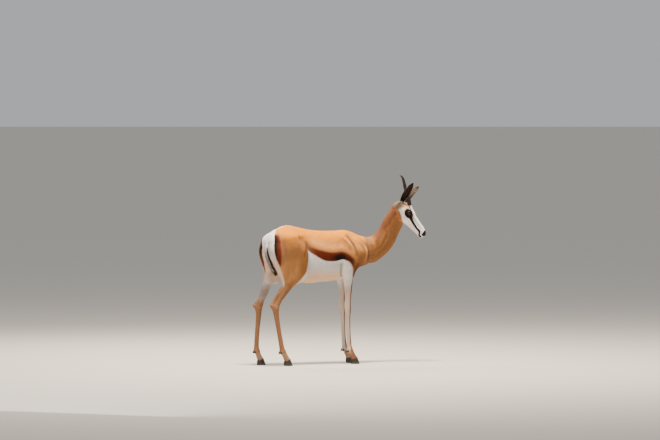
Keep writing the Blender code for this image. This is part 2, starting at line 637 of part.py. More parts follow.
def eyeball(name, sign, extra=0.0):
    """The ball of one eye, grown by extra."""
    rings, sides = 8, 12
    angle = np.arange(sides) * 2.0 * math.pi / sides
    points = []
    for turn in (np.arange(rings) + 0.5) * math.pi / rings:
        for a in angle:
            way = np.array((math.sin(turn) * math.cos(a), sign * math.cos(turn), math.sin(turn) * math.sin(a)))
            size = np.array(EYE_RADII) + extra
            centre = np.array((EYE_CENTRE[0], sign * EYE_CENTRE[1], EYE_CENTRE[2]))
            points.append(head_point(*(centre + way * size)))
    ball = new_object(name, points, ring_faces(rings, sides))
    outward(ball)
    return ball


def eye_lid(sign):
    """A rim round the opening of one eye, pointed at the front corner."""
    turns, bends, thick = 22, 6, 0.0024
    long_half, high_half, corner = 0.0126, 0.0090, 0.0030
    sunk, least = 0.0006, 0.15
    points = []
    for turn in range(turns):
        angle = turn * 2.0 * math.pi / turns
        ahead = long_half * math.cos(angle) + corner * max(math.cos(angle), 0.0) ** 4
        rise = high_half * math.sin(angle)
        part = 1.0 - (ahead / EYE_RADII[0]) ** 2 - (rise / EYE_RADII[2]) ** 2
        out = EYE_CENTRE[1] + EYE_RADII[1] * math.sqrt(max(part, least)) - sunk
        away = np.array((math.cos(angle), 0.0, math.sin(angle)))
        centre = np.array((EYE_CENTRE[0] + ahead, out, EYE_CENTRE[2] + rise))
        for bend in range(bends):
            swing = bend * 2.0 * math.pi / bends
            spot = centre + thick * (math.cos(swing) * away + math.sin(swing) * np.array((0.0, 1.0, 0.0)))
            points.append(head_point(spot[0], sign * spot[1], spot[2]))
    faces = []
    for turn in range(turns):
        for bend in range(bends):
            here, after, over = turn * bends, (turn + 1) % turns * bends, (bend + 1) % bends
            faces.append((here + bend, after + bend, after + over, here + over))
    rim = new_object("lid", points, faces)
    outward(rim)
    return rim


def nostril(sign):
    """A bent slit at the side of the nose."""
    path = [head_point(0.2560, sign * 0.0065, -0.0065), head_point(0.2500, sign * 0.0100, -0.0030),
            head_point(0.2420, sign * 0.0140, 0.0010), head_point(0.2345, sign * 0.0195, 0.0020)]
    return tube("nostril", path, (0.0016, 0.0026, 0.0024, 0.0014), 7, side=FACE_UP)


def mouth_line(lofts):
    """A shallow groove round the muzzle between the lips."""
    steps, front, depth, half, height, fall, radius = 15, 0.2600, 0.0620, 0.0330, -0.0215, 0.0060, 0.0013
    points = []
    for step in range(steps):
        across = 2.0 * step / (steps - 1) - 1.0
        back = abs(across) ** 1.5
        aside = half * math.sin(across * math.pi / 2.0)
        points.append(head_point(front - depth * back, aside, height - fall * back))
    return tube("mouth", settle(lofts, np.array(points), rounds=14), [radius] * steps, 6, side=FACE_UP)


# ---------------------------------------------------------------- horns, ears, tail and hooves
def make_horn(name, sign, parent):
    """A slender horn, ringed on its lower half, leaning forward and hooking back at the tip."""
    path_along = np.array((0.075, 0.054, 0.0255, -0.0125, -0.042, -0.072, -0.0955, -0.117))
    path_up = np.array((0.0105, 0.0300, 0.0460, 0.0590, 0.0720, 0.0860, 0.0940, 0.0925))
    path_out = np.array((0.0175, 0.0185, 0.0195, 0.0200, 0.0195, 0.0180, 0.0160, 0.0140))
    station = np.linspace(0.0, 1.0, len(path_along))
    steps = 3 * HORN_RINGS + 9
    at = np.linspace(0.0, 1.0, steps)
    along, up, out = (through(station, column, at) for column in (path_along, path_up, path_out))
    radius = HORN_TIP_RADIUS + (HORN_BASE_RADIUS - HORN_TIP_RADIUS) * (1.0 - at) ** HORN_FULLNESS
    ringed = (at > HORN_RINGED[0]) & (at < HORN_RINGED[1])
    radius = radius * np.where(ringed & (np.arange(steps) % 3 == 0), HORN_GROOVE, 1.0)
    path = [head_point(a, sign * o, u) for a, o, u in zip(along, out, up)]
    horn = tube(name, path, radius, 8, side=HEAD_LEFT)
    combine(horn, [grown(parent, "trim")], "DIFFERENCE", solver="MANIFOLD")
    return horn


def ear_outline(t):
    """Half width of the ear, as a share of the widest, from the root (0) to the tip (1)."""
    widest, stalk, point = 0.44, 0.42, 0.05
    if t < widest:
        s = t / widest
        return stalk + (1.0 - stalk) * s * s * (3.0 - 2.0 * s)
    return point + (1.0 - point) * (1.0 - ((t - widest) / (1.0 - widest)) ** 2)


def make_ear(name, sign, parent):
    """A long pointed ear: a cupped leaf of even thickness, nearly closed at the root."""
    root = np.array(EAR_ROOT)
    way = np.array(EAR_TIPS[sign]) - root
    length = np.linalg.norm(way)
    way = way / length
    face = np.array(EAR_OPENING)
    face = face - way * (face @ way)
    face = face / np.linalg.norm(face)
    edge = np.cross(way, face)
    rows, columns = 10, 7
    opened, sunk, thinned = 0.55, 0.5, 0.45
    sheets = []
    for inner in (0.0, 1.0):
        sheet = []
        for row in range(rows):
            t = row / (rows - 1)
            half = EAR_HALF_WIDTH * ear_outline(t)
            curl = math.radians(EAR_CURL_ROOT + (EAR_CURL_TIP - EAR_CURL_ROOT) * min(t / opened, 1.0))
            bow = EAR_BOW * math.sin(math.pi * t)
            radius = half / math.sin(min(curl, math.pi / 2.0))
            thick = EAR_THICKNESS * (1.0 - thinned * t) * inner
            centre = root + way * (length * t) - face * bow
            for column in range(columns):
                angle = curl * (2.0 * column / (columns - 1) - 1.0)
                reach = radius - thick
                deep = radius - reach * math.cos(angle) - sunk * half
                spot = centre + edge * (reach * math.sin(angle)) + face * deep
                sheet.append(head_point(spot[0], sign * spot[1], spot[2]))
        sheets.append(sheet)
    size = rows * columns
    faces = []
    for row in range(rows - 1):
        for column in range(columns - 1):
            a = row * columns + column
            faces.append((a, a + 1, a + columns + 1, a + columns))
            faces.append((size + a, size + a + columns, size + a + columns + 1, size + a + 1))
    border = ([column for column in range(columns)] + [row * columns + columns - 1 for row in range(1, rows)]
              + [(rows - 1) * columns + column for column in range(columns - 2, -1, -1)]
              + [row * columns for row in range(rows - 2, 0, -1)])
    for here, after in zip(border, border[1:] + border[:1]):
        faces.append((here, size + here, size + after, after))
    ear = new_object(name, sheets[0] + sheets[1], faces)
    outward(ear)
    combine(ear, [grown(parent, "trim")], "DIFFERENCE", solver="MANIFOLD")
    return ear


def make_tail(parent):
    """A thin hanging tail with overlapping flat locks that end in a tuft."""
    path = [(-0.499, 0.0, 0.728), (-0.511, -0.001, 0.705), (-0.515, -0.004, 0.665), (-0.507, -0.011, 0.620),
            (-0.494, -0.022, 0.575), (-0.480, -0.036, 0.540)]
    tail = tube("tail", path, (0.0120, 0.0100, 0.0085, 0.0070, 0.0055, 0.0035), 8)
    spine = np.array(path)
    at = np.linspace(0.0, 1.0, len(path))
    total = np.linalg.norm(np.diff(spine, axis=0), axis=1).sum()
    first, spread, long, uneven, reach, steps = 0.18, 0.66, 0.046, 0.010, 0.0052, 5
    locks = []
    for lock in range(TAIL_LOCKS):
        start = first + spread * lock / (TAIL_LOCKS - 1)
        angle = math.pi + lock * LOCK_TURN
        length = long + uneven * math.sin(lock * 1.7)
        out = np.array((math.cos(angle), math.sin(angle), 0.0)) * reach
        lock_path = []
        for step in range(steps):
            t = step / (steps - 1)
            place = start + t * length / total
            centre = np.array([np.interp(place, at, spine[:, i]) for i in range(3)])
            drop = max(place - 1.0, 0.0) * total
            lock_path.append(centre + out * (0.35 + 1.1 * t - 0.5 * t * t) - np.array((0.0, 0.0, drop)))
        locks.append(tube("lock", lock_path, (0.0052, 0.0062, 0.0060, 0.0042, 0.0008), 5, flat=0.55,
                          side=(-math.sin(angle), math.cos(angle), 0.0)))
    combine(tail, locks, "UNION")
    combine(tail, [grown(parent, "trim")], "DIFFERENCE")
    return tail


def make_hoof(name, sign, toe, toe_side):
    """One horny toe: flat on the floor, pointed in front, cut off at the slant of the coronet."""
    sides, pinch, flat_side = 14, 0.30, 0.80
    lean = math.atan2(*SOLE_SLANT)
    middle = sign * toe[1] + TOE_SPREAD * toe_side
    levels = ((0.0, 0.0235, 0.0115, 0.0075), (0.25, 0.0220, 0.0114, 0.0055), (0.65, 0.0180, 0.0108, 0.0015),
              (1.0, 0.0150, 0.0098, 0.0))
    drop = GAP / math.cos(lean)
    points = []
    for height, long_half, wide_half, ahead in levels:
        for side in range(sides):
            angle = side * 2.0 * math.pi / sides
            ahead_now = long_half * math.cos(angle)
            narrow = 1.0 - pinch * max(math.cos(angle), 0.0) ** 1.5 * (1.0 - height)
            across = wide_half * math.sin(angle) * narrow
            if across * toe_side < 0.0:
                across *= flat_side
            x = toe[0] + ahead_now + ahead
            top = toe[2] - drop + (x - toe[0]) * math.tan(lean)
            points.append((x, middle + across, top * height))
    hoof = new_object(name, points, ring_faces(len(levels), sides))
    outward(hoof)
    return hoof


# ---------------------------------------------------------------- finish and place
def dress(thing, colour):
    """Give the object its material and smooth shading."""
    material = bpy.data.materials.get(colour)
    if material is None:
        base, roughness = COLOURS[colour]
        material = bpy.data.materials.new(colour)
        material.use_nodes = True
        shader = material.node_tree.nodes["Principled BSDF"]
        shader.inputs["Base Color"].default_value = (*base, 1.0)
        shader.inputs["Roughness"].default_value = roughness
        shader.inputs["Metallic"].default_value = 0.0
    thing.data.materials.clear()
    thing.data.materials.append(material)
    thing.data.shade_smooth()
    thing.data.set_sharp_from_angle(angle=math.radians(50.0))


def centre_on_origin(things):
    """Move all meshes so that the origin lies on the floor under the middle of the whole."""
    points = np.array([vertex.co for thing in things for vertex in thing.data.vertices])
    middle = (points.min(axis=0) + points.max(axis=0)) / 2.0
    shift = Vector((-middle[0], -middle[1], -points[:, 2].min()))
    print("shift", [round(v, 5) for v in shift])
    for thing in things:
        for vertex in thing.data.vertices:
            vertex.co += shift


def main():
    """Build every node of the animal."""
    for old in list(bpy.data.objects):
        bpy.data.objects.remove(old)
    lofts = all_lofts()
    trunk = make_trunk(lofts)
    head = make_head(lofts)
    finished = [(trunk, "tan_coat"), (make_neck(lofts), "neck_coat"), (head, "white_coat")]
    for sign, side in SIDES:
        finished.append((eyeball("eye_" + side, sign), "eye"))
        finished.append((make_horn("horn_" + side, sign, head), "horn"))
        finished.append((make_ear("ear_" + side, sign, head), "grey_coat"))
        legs = (("fore", FORELEG_X, fore_foot(sign)[1], "white_coat"),
                ("hind", HINDLEG_X, hind_foot(sign)[1], "tan_coat"))
        for leg, (low_x, high_x), toe, colour in legs:
            finished.append((make_leg(leg + "leg_" + side, lofts, sign, low_x, high_x, toe), colour))
            for toe_side, place in TOES:
                name = "hoof_" + leg + "_" + side + "_" + place
                finished.append((make_hoof(name, sign, toe, toe_side * sign), "hoof"))
    finished.append((make_tail(trunk), "white_coat"))
    for thing, colour in finished:
        dress(thing, colour)
    centre_on_origin([thing for thing, _ in finished])


main()
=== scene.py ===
"""The looks of a life-size springbok ewe that stands still with its head turned to its right.

The flesh is one smooth field of oval lofts joined by a smooth minimum, sampled on a grid that is
finer at the head, and its zero surface is the hide.  Flat tufts of short hair lie over the hide
along the way the coat runs.  Hide and tufts read the same markings, worked out from where they
lie on the body.  Ears, eyes, horns, hooves and tail are pieces of their own.

Body axes: X is the way the body faces from the withers, Y the animal's left, Z up from the floor.
Head axes: along the face from the poll to the nose, left, and up off the line of the face.
"""
import logging
import math
from dataclasses import dataclass
from enum import Enum, IntEnum
from functools import reduce

import bmesh
import bpy
import numpy as np
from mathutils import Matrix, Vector


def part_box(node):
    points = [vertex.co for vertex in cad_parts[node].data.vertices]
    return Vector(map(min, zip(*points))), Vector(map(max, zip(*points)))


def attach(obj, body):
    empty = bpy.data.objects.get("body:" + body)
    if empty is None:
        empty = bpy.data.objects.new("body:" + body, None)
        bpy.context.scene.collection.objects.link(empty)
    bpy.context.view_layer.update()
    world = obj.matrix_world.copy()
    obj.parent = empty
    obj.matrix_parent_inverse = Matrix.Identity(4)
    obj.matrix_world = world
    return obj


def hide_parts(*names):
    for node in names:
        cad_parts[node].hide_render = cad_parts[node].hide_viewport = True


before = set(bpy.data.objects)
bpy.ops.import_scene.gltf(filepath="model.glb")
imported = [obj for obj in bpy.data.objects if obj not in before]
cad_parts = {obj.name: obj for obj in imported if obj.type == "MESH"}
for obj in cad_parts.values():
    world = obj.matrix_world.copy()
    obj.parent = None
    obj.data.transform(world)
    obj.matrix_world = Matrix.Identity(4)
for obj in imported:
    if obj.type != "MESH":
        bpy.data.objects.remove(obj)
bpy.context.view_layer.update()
log = logging.getLogger("springbok")
Array = np.ndarray
Rows = list[tuple[float, ...]]

# ---------------------------------------------------------------- driving sizes, in metres and radians
POLL = np.array((0.3355, -0.050, 0.945))
HEAD_TURN = math.radians(40.0)
FACE_SLOPE = math.radians(52.4)
FORE_LEAD = 0.035
CORONET = 0.034
FETLOCK = 0.086
TOE_SPREAD = 0.0098
EYE_CENTRE = np.array((0.0960, 0.0375, 0.0060))
EYE_RADII = np.array((0.0165, 0.0140, 0.0125))
LOWER_LID = 0.82
COAT_DEPTH = 0.0023
SEED = 28
TAIL_PATH = ((-0.499, 0.0, 0.728), (-0.511, -0.001, 0.705), (-0.515, -0.004, 0.665), (-0.507, -0.011, 0.620),
             (-0.494, -0.022, 0.575), (-0.480, -0.036, 0.540))
TAIL_SIZES = (0.0120, 0.0100, 0.0085, 0.0070, 0.0055, 0.0035)

HEAD_LEFT = np.array((math.sin(HEAD_TURN), math.cos(HEAD_TURN), 0.0))
FACE_AXIS = np.array((math.cos(HEAD_TURN) * math.cos(FACE_SLOPE), -math.sin(HEAD_TURN) * math.cos(FACE_SLOPE),
                      -math.sin(FACE_SLOPE)))
FACE_UP = np.cross(FACE_AXIS, HEAD_LEFT)
HEAD_AXES = np.stack((FACE_AXIS, HEAD_LEFT, FACE_UP))


def head_point(along: float, left: float, up: float) -> Array:
    """Body place of a point given along the face from the poll, left, and up off the face line."""
    return POLL + np.array((along, left, up)) @ HEAD_AXES


def in_head(points: Array) -> Array:
    """Head coordinates (along, left, up) of body points."""
    return (points - POLL) @ HEAD_AXES.T


def frame_shift() -> Array:
    """How far the frame's origin lies from the withers' foot, read from the left eye's place."""
    low, high = (np.array(corner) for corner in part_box("eye_left"))
    return (low + high) / 2.0 - head_point(*EYE_CENTRE)


SHIFT = frame_shift()


class Side(Enum):
    """Left and right of the animal, as the sign of Y."""

    LEFT = 1
    RIGHT = -1

    @property
    def word(self) -> str:
        """The side's word in node names."""
        return self.name.lower()


# ---------------------------------------------------------------- small mathematics
def mm(*rows: tuple[float, ...]) -> Rows:
    """Rows given in millimetres, in metres."""
    return [tuple(value / 1000.0 for value in row) for row in rows]


def ramp(value: Array, low: float, high: float) -> Array:
    """0 below low, 1 above high and a smooth rise between them."""
    t = np.clip((value - low) / (high - low), 0.0, 1.0)
    return t * t * (3.0 - 2.0 * t)


def fall(value: Array, low: float, high: float) -> Array:
    """1 below low, 0 above high and a smooth fall between them."""
    return ramp(-value, -high, -low)


def between(value: Array, low: float, full: float, last: float, high: float) -> Array:
    """0 below low and above high, 1 from full to last, smooth between them."""
    return ramp(value, low, full) * (1.0 - ramp(value, last, high))


def most(*shares: Array) -> Array:
    """The largest of several shares at each place."""
    return np.maximum.reduce(shares)


def eye_distance(points: Array, stretch: tuple[float, ...] = (1.0, 1.0, 1.0)) -> Array:
    """Distance from the middle of the nearer eye, along, out and up, each divided by its stretch."""
    along, left, up = in_head(points).T
    return np.linalg.norm((np.stack((along, np.abs(left), up), axis=1) - EYE_CENTRE) / stretch, axis=1)


def lid_edge(angle: Array, ahead: Array, height: float) -> tuple[Array, Array]:
    """The edge of the lids, lower below than above, and how far out the eyeball lies there.

    Args:
        angle: Places round the eye, from the front corner over the top.
        ahead: How far each lies ahead of the eye's middle.
        height: The upper lid's height over it.

    Returns:
        The height of each place, and how far out the eyeball's surface lies.
    """
    rise = height * np.sin(angle) * np.where(np.sin(angle) > 0.0, 1.0, LOWER_LID)
    inside = 1.0 - (ahead / EYE_RADII[0]) ** 2 - (rise / EYE_RADII[2]) ** 2
    return rise, EYE_RADII[1] * np.sqrt(np.maximum(inside, 0.12))


def through(stations: Array, values: Array, at: Array) -> Array:
    """A smooth curve through values: a cubic on each span, with its slopes from differences.

    Args:
        stations: Where the values are given, rising.
        values: The values.
        at: Where they are wanted.

    Returns:
        The curve's value at each place.
    """
    if len(stations) == 2:
        return np.interp(at, stations, values)
    slope = np.gradient(values, stations)
    i = np.clip(np.searchsorted(stations, at, side="right") - 1, 0, len(stations) - 2)
    span = stations[i + 1] - stations[i]
    s = (at - stations[i]) / span
    start = (1 + 2 * s) * (1 - s) ** 2 * values[i] + s * (1 - s) ** 2 * span * slope[i]
    end = s * s * (3 - 2 * s) * values[i + 1] + s * s * (s - 1) * span * slope[i + 1]
    return start + end


def unit(vectors: Array) -> Array:
    """The vectors at length 1."""
    return vectors / np.maximum(np.linalg.norm(vectors, axis=-1, keepdims=True), 1e-9)


def line_distance(points: Array, path: Array) -> tuple[Array, Array]:
    """Distance from points to a broken line, and the share of the line's length at the nearest place.

    Args:
        points: The points, one a row, in two or three dimensions.
        path: The line's corners, one a row.

    Returns:
        The distances and the shares, from 0 at the start to 1 at the end.
    """
    steps = np.diff(path, axis=0)
    lengths = np.linalg.norm(steps, axis=1)
    before = np.concatenate(([0.0], np.cumsum(lengths)))
    best = np.full(len(points), np.inf)
    share = np.zeros(len(points))
    for start, step, length, done in zip(path[:-1], steps, lengths, before):
        t = np.clip((points - start) @ step / length ** 2, 0.0, 1.0)
        distance = np.linalg.norm(points - start - t[:, None] * step, axis=1)
        nearer = distance < best
        best[nearer] = distance[nearer]
        share[nearer] = (done + t[nearer] * length) / before[-1]
    return best, share


# ---------------------------------------------------------------- the field of the flesh
class Form:
    """Something that joins the field of the flesh, within the box from low to high."""

    low: Array
    high: Array

    def set_box(self, points: Array, reach: float) -> None:
        """Let the box reach so far past the points."""
        self.low, self.high = points.min(axis=0) - reach, points.max(axis=0) + reach

    def join(self, value: Array, x: Array, y: Array, z: Array) -> Array:
        """The field with this form joined to it.

        Args:
            value: The field so far.
            x: Body X of each place.
            y: Body Y of each place.
            z: Body Z of each place.

        Returns:
            The field with the form in it.
        """
        raise NotImplementedError

    @staticmethod
    def from_path(path: Array, *place: Array) -> tuple[Array, Array]:
        """Distance of each place from a path, and the share of its length at the nearest point.

        Args:
            path: The path's corners, one a row.
            *place: Body X, Y and Z of the places.

        Returns:
            The distances and the shares, in the shape of the places.
        """
        shape = np.broadcast(*place).shape
        points = np.stack([np.broadcast_to(c, shape).ravel() for c in place], axis=1)
        distance, share = line_distance(points, path)
        return distance.reshape(shape), share.reshape(shape)


@dataclass
class Loft(Form):
    """Oval sections along a path; each row is (x, y, z, half side, half up[, half down])."""

    rows: Rows
    side: tuple[float, ...] = (0.0, 1.0, 0.0)
    blend: float = 0.02
    end_blend: float | None = None
    caps: tuple[float, float] | None = None
    taper: float = 0.0

    def __post_init__(self) -> None:
        """Work out the chord, the section axes and tables of the sections along it."""
        rows = np.array([tuple(row) + (row[4],) * (6 - len(row)) for row in self.rows], float)
        points = rows[:, :3]
        self.start = points[0]
        self.length = float(np.linalg.norm(points[-1] - points[0]))
        self.axis = (points[-1] - points[0]) / self.length
        flat = np.asarray(self.side, float)
        self.across = unit(flat - self.axis * (flat @ self.axis))
        self.up = np.cross(self.axis, self.across)
        if self.up[2] < 0:
            self.up = -self.up
        along = (points - self.start) @ self.axis
        self.table = np.linspace(0.0, self.length, 96)
        columns = ((points - self.start) @ self.across, (points - self.start) @ self.up, *rows[:, 3:].T)
        self.columns = [through(along, column, self.table) for column in columns]
        self.caps = self.caps or (min(rows[0, 3:5]), min(rows[-1, 3:5]))
        self.end_blend = self.blend if self.end_blend is None else self.end_blend
        self.set_box(points, max(rows[:, 3:].max(), *self.caps) + max(self.blend, self.end_blend))

    def join(self, value: Array, x: Array, y: Array, z: Array) -> Array:
        """The smooth minimum of the field and the distance from the oval sections.

        Args:
            value: The field so far.
            x: The places' X.
            y: Their Y.
            z: Their Z.

        Returns:
            The field with this form in it.
        """
        x, y, z = x - self.start[0], y - self.start[1], z - self.start[2]
        along, across, rise = (x * way[0] + y * way[1] + z * way[2]
                               for way in (self.axis, self.across, self.up))
        inside = np.clip(along, 0.0, self.length)
        past = along - inside
        shift, lift, half, above, below = (np.interp(inside, self.table, c) for c in self.columns)
        across = across - shift
        rise = rise - lift
        height = np.where(rise > 0.0, above, below)
        half = half * (1.0 - self.taper * np.clip(rise / height, -1.0, 1.0))
        cap = np.where(past > 0.0, self.caps[1], self.caps[0])
        scaled = np.sqrt((across / half) ** 2 + (rise / height) ** 2 + (past / cap) ** 2) + 1e-6
        slope = np.sqrt((across / half ** 2) ** 2 + (rise / height ** 2) ** 2 + (past / cap ** 2) ** 2) + 1e-4
        distance = scaled * (scaled - 1.0) / slope
        width = self.blend + (self.end_blend - self.blend) * inside / self.length
        overlap = np.maximum(width - np.abs(value - distance), 0.0)
        return np.minimum(value, distance) - overlap * overlap / (4.0 * width)


@dataclass
class Cord(Form):
    """A round cord along a line of points, raised on the flesh or cut into it."""

    path: Array
    radii: tuple[float, ...]
    blend: float = 0.003
    cut: bool = False

    def __post_init__(self) -> None:
        """Work out the box that the cord reaches."""
        self.set_box(self.path, max(self.radii) + self.blend)

    def join(self, value: Array, x: Array, y: Array, z: Array) -> Array:
        """The smooth minimum of the field and the cord, or the smooth maximum where it is cut away.

        Args:
            value: The field so far.
            x: The places' X.
            y: Their Y.
            z: Their Z.

        Returns:
            The field with this form in it.
        """
        distance, share = self.from_path(self.path, x, y, z)
        distance = distance - np.interp(share, np.linspace(0.0, 1.0, len(self.radii)), self.radii)
        sign = -1.0 if self.cut else 1.0
        overlap = np.maximum(self.blend - np.abs(sign * value - distance), 0.0)
        return sign * (np.minimum(sign * value, distance) - overlap * overlap / (4.0 * self.blend))


@dataclass
class Swell(Form):
    """A smooth ridge or hollow along a path: the field less rise * exp(-(distance / width)^2)."""

    path: Array
    width: float
    rise: float

    def __post_init__(self) -> None:
        """Work out the box that the swell reaches."""
        self.set_box(self.path, 2.6 * self.width)

    def join(self, value: Array, x: Array, y: Array, z: Array) -> Array:
        """The field less the swell, which dies away at both ends of the path.

        Args:
            value: The field so far.
            x: The places' X.
            y: Their Y.
            z: Their Z.

        Returns:
            The field with this form in it.
        """
        distance, share = self.from_path(self.path, x, y, z)
        fade = np.sin(math.pi * (0.12 + 0.76 * share))
        return value - self.rise * fade * np.exp(-(distance / self.width) ** 2)


@dataclass
class Flesh:
    """Forms joined in order to one field, negative inside."""

    forms: list[Form]
    far: float = 0.3

    def at(self, points: Array) -> Array:
        """Signed distance, roughly, of each point from the flesh.

        Args:
            points: The points, one a row.

        Returns:
            The distance of each.
        """
        value = np.full(len(points), self.far)
        for form in self.forms:
            near = ((points > form.low) & (points < form.high)).all(axis=1)
            if near.any():
                value[near] = form.join(value[near], *points[near].T)
        return value

    def on_grid(self, *lines: Array) -> Array:
        """The field on a grid.

        Args:
            *lines: The grid's places along X, Y and Z.

        Returns:
            The field at each place of the grid.
        """
        value = np.full([len(line) for line in lines], self.far)
        for form in self.forms:
            ends = ((int(np.searchsorted(line, low)), int(np.searchsorted(line, high)))
                    for line, low, high in zip(lines, form.low, form.high))
            cut = tuple(slice(max(first - 1, 0), last + 1) for first, last in ends)
            part = value[cut]
            if part.size:
                xs, ys, zs = (line[span] for line, span in zip(lines, cut))
                value[cut] = form.join(part, xs[:, None, None], ys[None, :, None], zs[None, None, :])
        return value

    def slope(self, points: Array, reach: float = 0.0007) -> Array:
        """The field's gradient by central differences."""
        steps = reach * np.eye(3)
        rises = [self.at(points + step) - self.at(points - step) for step in steps]
        return np.stack(rises, axis=1) / (2.0 * reach)

    def settle(self, points: Array, level: Array | float = 0.0, rounds: int = 2) -> Array:
        """Points moved along the gradient, 5 mm a round at most, to where the field has the given level.

        Args:
            points: The points, one a row.
            level: The field's value there, for all or for each.
            rounds: How many times they move.

        Returns:
            The moved points.
        """
        for _ in range(rounds):
            slope = self.slope(points)
            size = np.maximum((slope ** 2).sum(axis=1), 0.05)
            points = points - np.clip((self.at(points) - level) / size, -0.005, 0.005)[:, None] * slope
        return points


@dataclass(frozen=True)
class Relief:
    """A ridge, or a hollow where rise is negative, along places near the surface given for the left."""

    width: float
    rise: float
    places: Rows
    sides: tuple[Side, ...] = (Side.LEFT, Side.RIGHT)
    on_head: bool = False

    def lay(self, flesh: Flesh, side: Side) -> Swell:
        """The swell along the path, settled on the surface.

        Args:
            flesh: The flesh that it lies on.
            side: The side of the animal.

        Returns:
            The swell.
        """
        rows = np.array(self.places) * (1.0, side.value, 1.0)
        if self.on_head:
            rows = POLL + rows @ HEAD_AXES
        at = np.linspace(0.0, 1.0, len(rows))
        dense = np.linspace(0.0, 1.0, 4 * len(rows))
        path = np.stack([through(at, column, dense) for column in rows.T], axis=1)
        return Swell(flesh.settle(path, 0.0, rounds=10), self.width, self.rise)


def surface_net(value: Array, lines: tuple[Array, Array, Array]) -> tuple[Array, Array]:
    """The zero surface of a grid: one vertex in each crossed cell, one quad across each crossed edge.

    Args:
        value: The field on the grid.
        lines: The grid's places along X, Y and Z.

    Returns:
        Vertices and quads, facing outward.
    """
    inside = value < 0.0
    cells = np.array(value.shape) - 1
    total = np.zeros((cells.prod(), 3))
    count = np.zeros(cells.prod())
    crossed = []
    for axis in range(3):
        low = tuple(slice(0, -1) if i == axis else slice(None) for i in range(3))
        high = tuple(slice(1, None) if i == axis else slice(None) for i in range(3))
        index = np.argwhere(inside[low] != inside[high])
        before, after = value[low][tuple(index.T)], value[high][tuple(index.T)]
        place = index.astype(float)
        place[:, axis] += before / (before - after)
        first, second = (i for i in range(3) if i != axis)
        around = []
        for a, b in ((-1, -1), (0, -1), (0, 0), (-1, 0)):
            cell = index.copy()
            cell[:, first] += a
            cell[:, second] += b
            flat = np.ravel_multi_index(np.clip(cell, 0, cells - 1).T, cells)
            np.add.at(total, flat, place)
            np.add.at(count, flat, 1.0)
            around.append(flat)
        quads = np.stack(around, axis=1)
        turned = (before < 0.0) == (axis == 1)
        quads[turned] = quads[turned][:, ::-1]
        crossed.append(quads)
    used = np.flatnonzero(count)
    number = np.zeros(cells.prod(), int)
    number[used] = np.arange(len(used))
    places = (total[used] / count[used][:, None]).T
    points = np.stack([np.interp(place, np.arange(len(line)), line) for place, line in zip(places, lines)],
                      axis=1)
    return points, number[np.concatenate(crossed)]


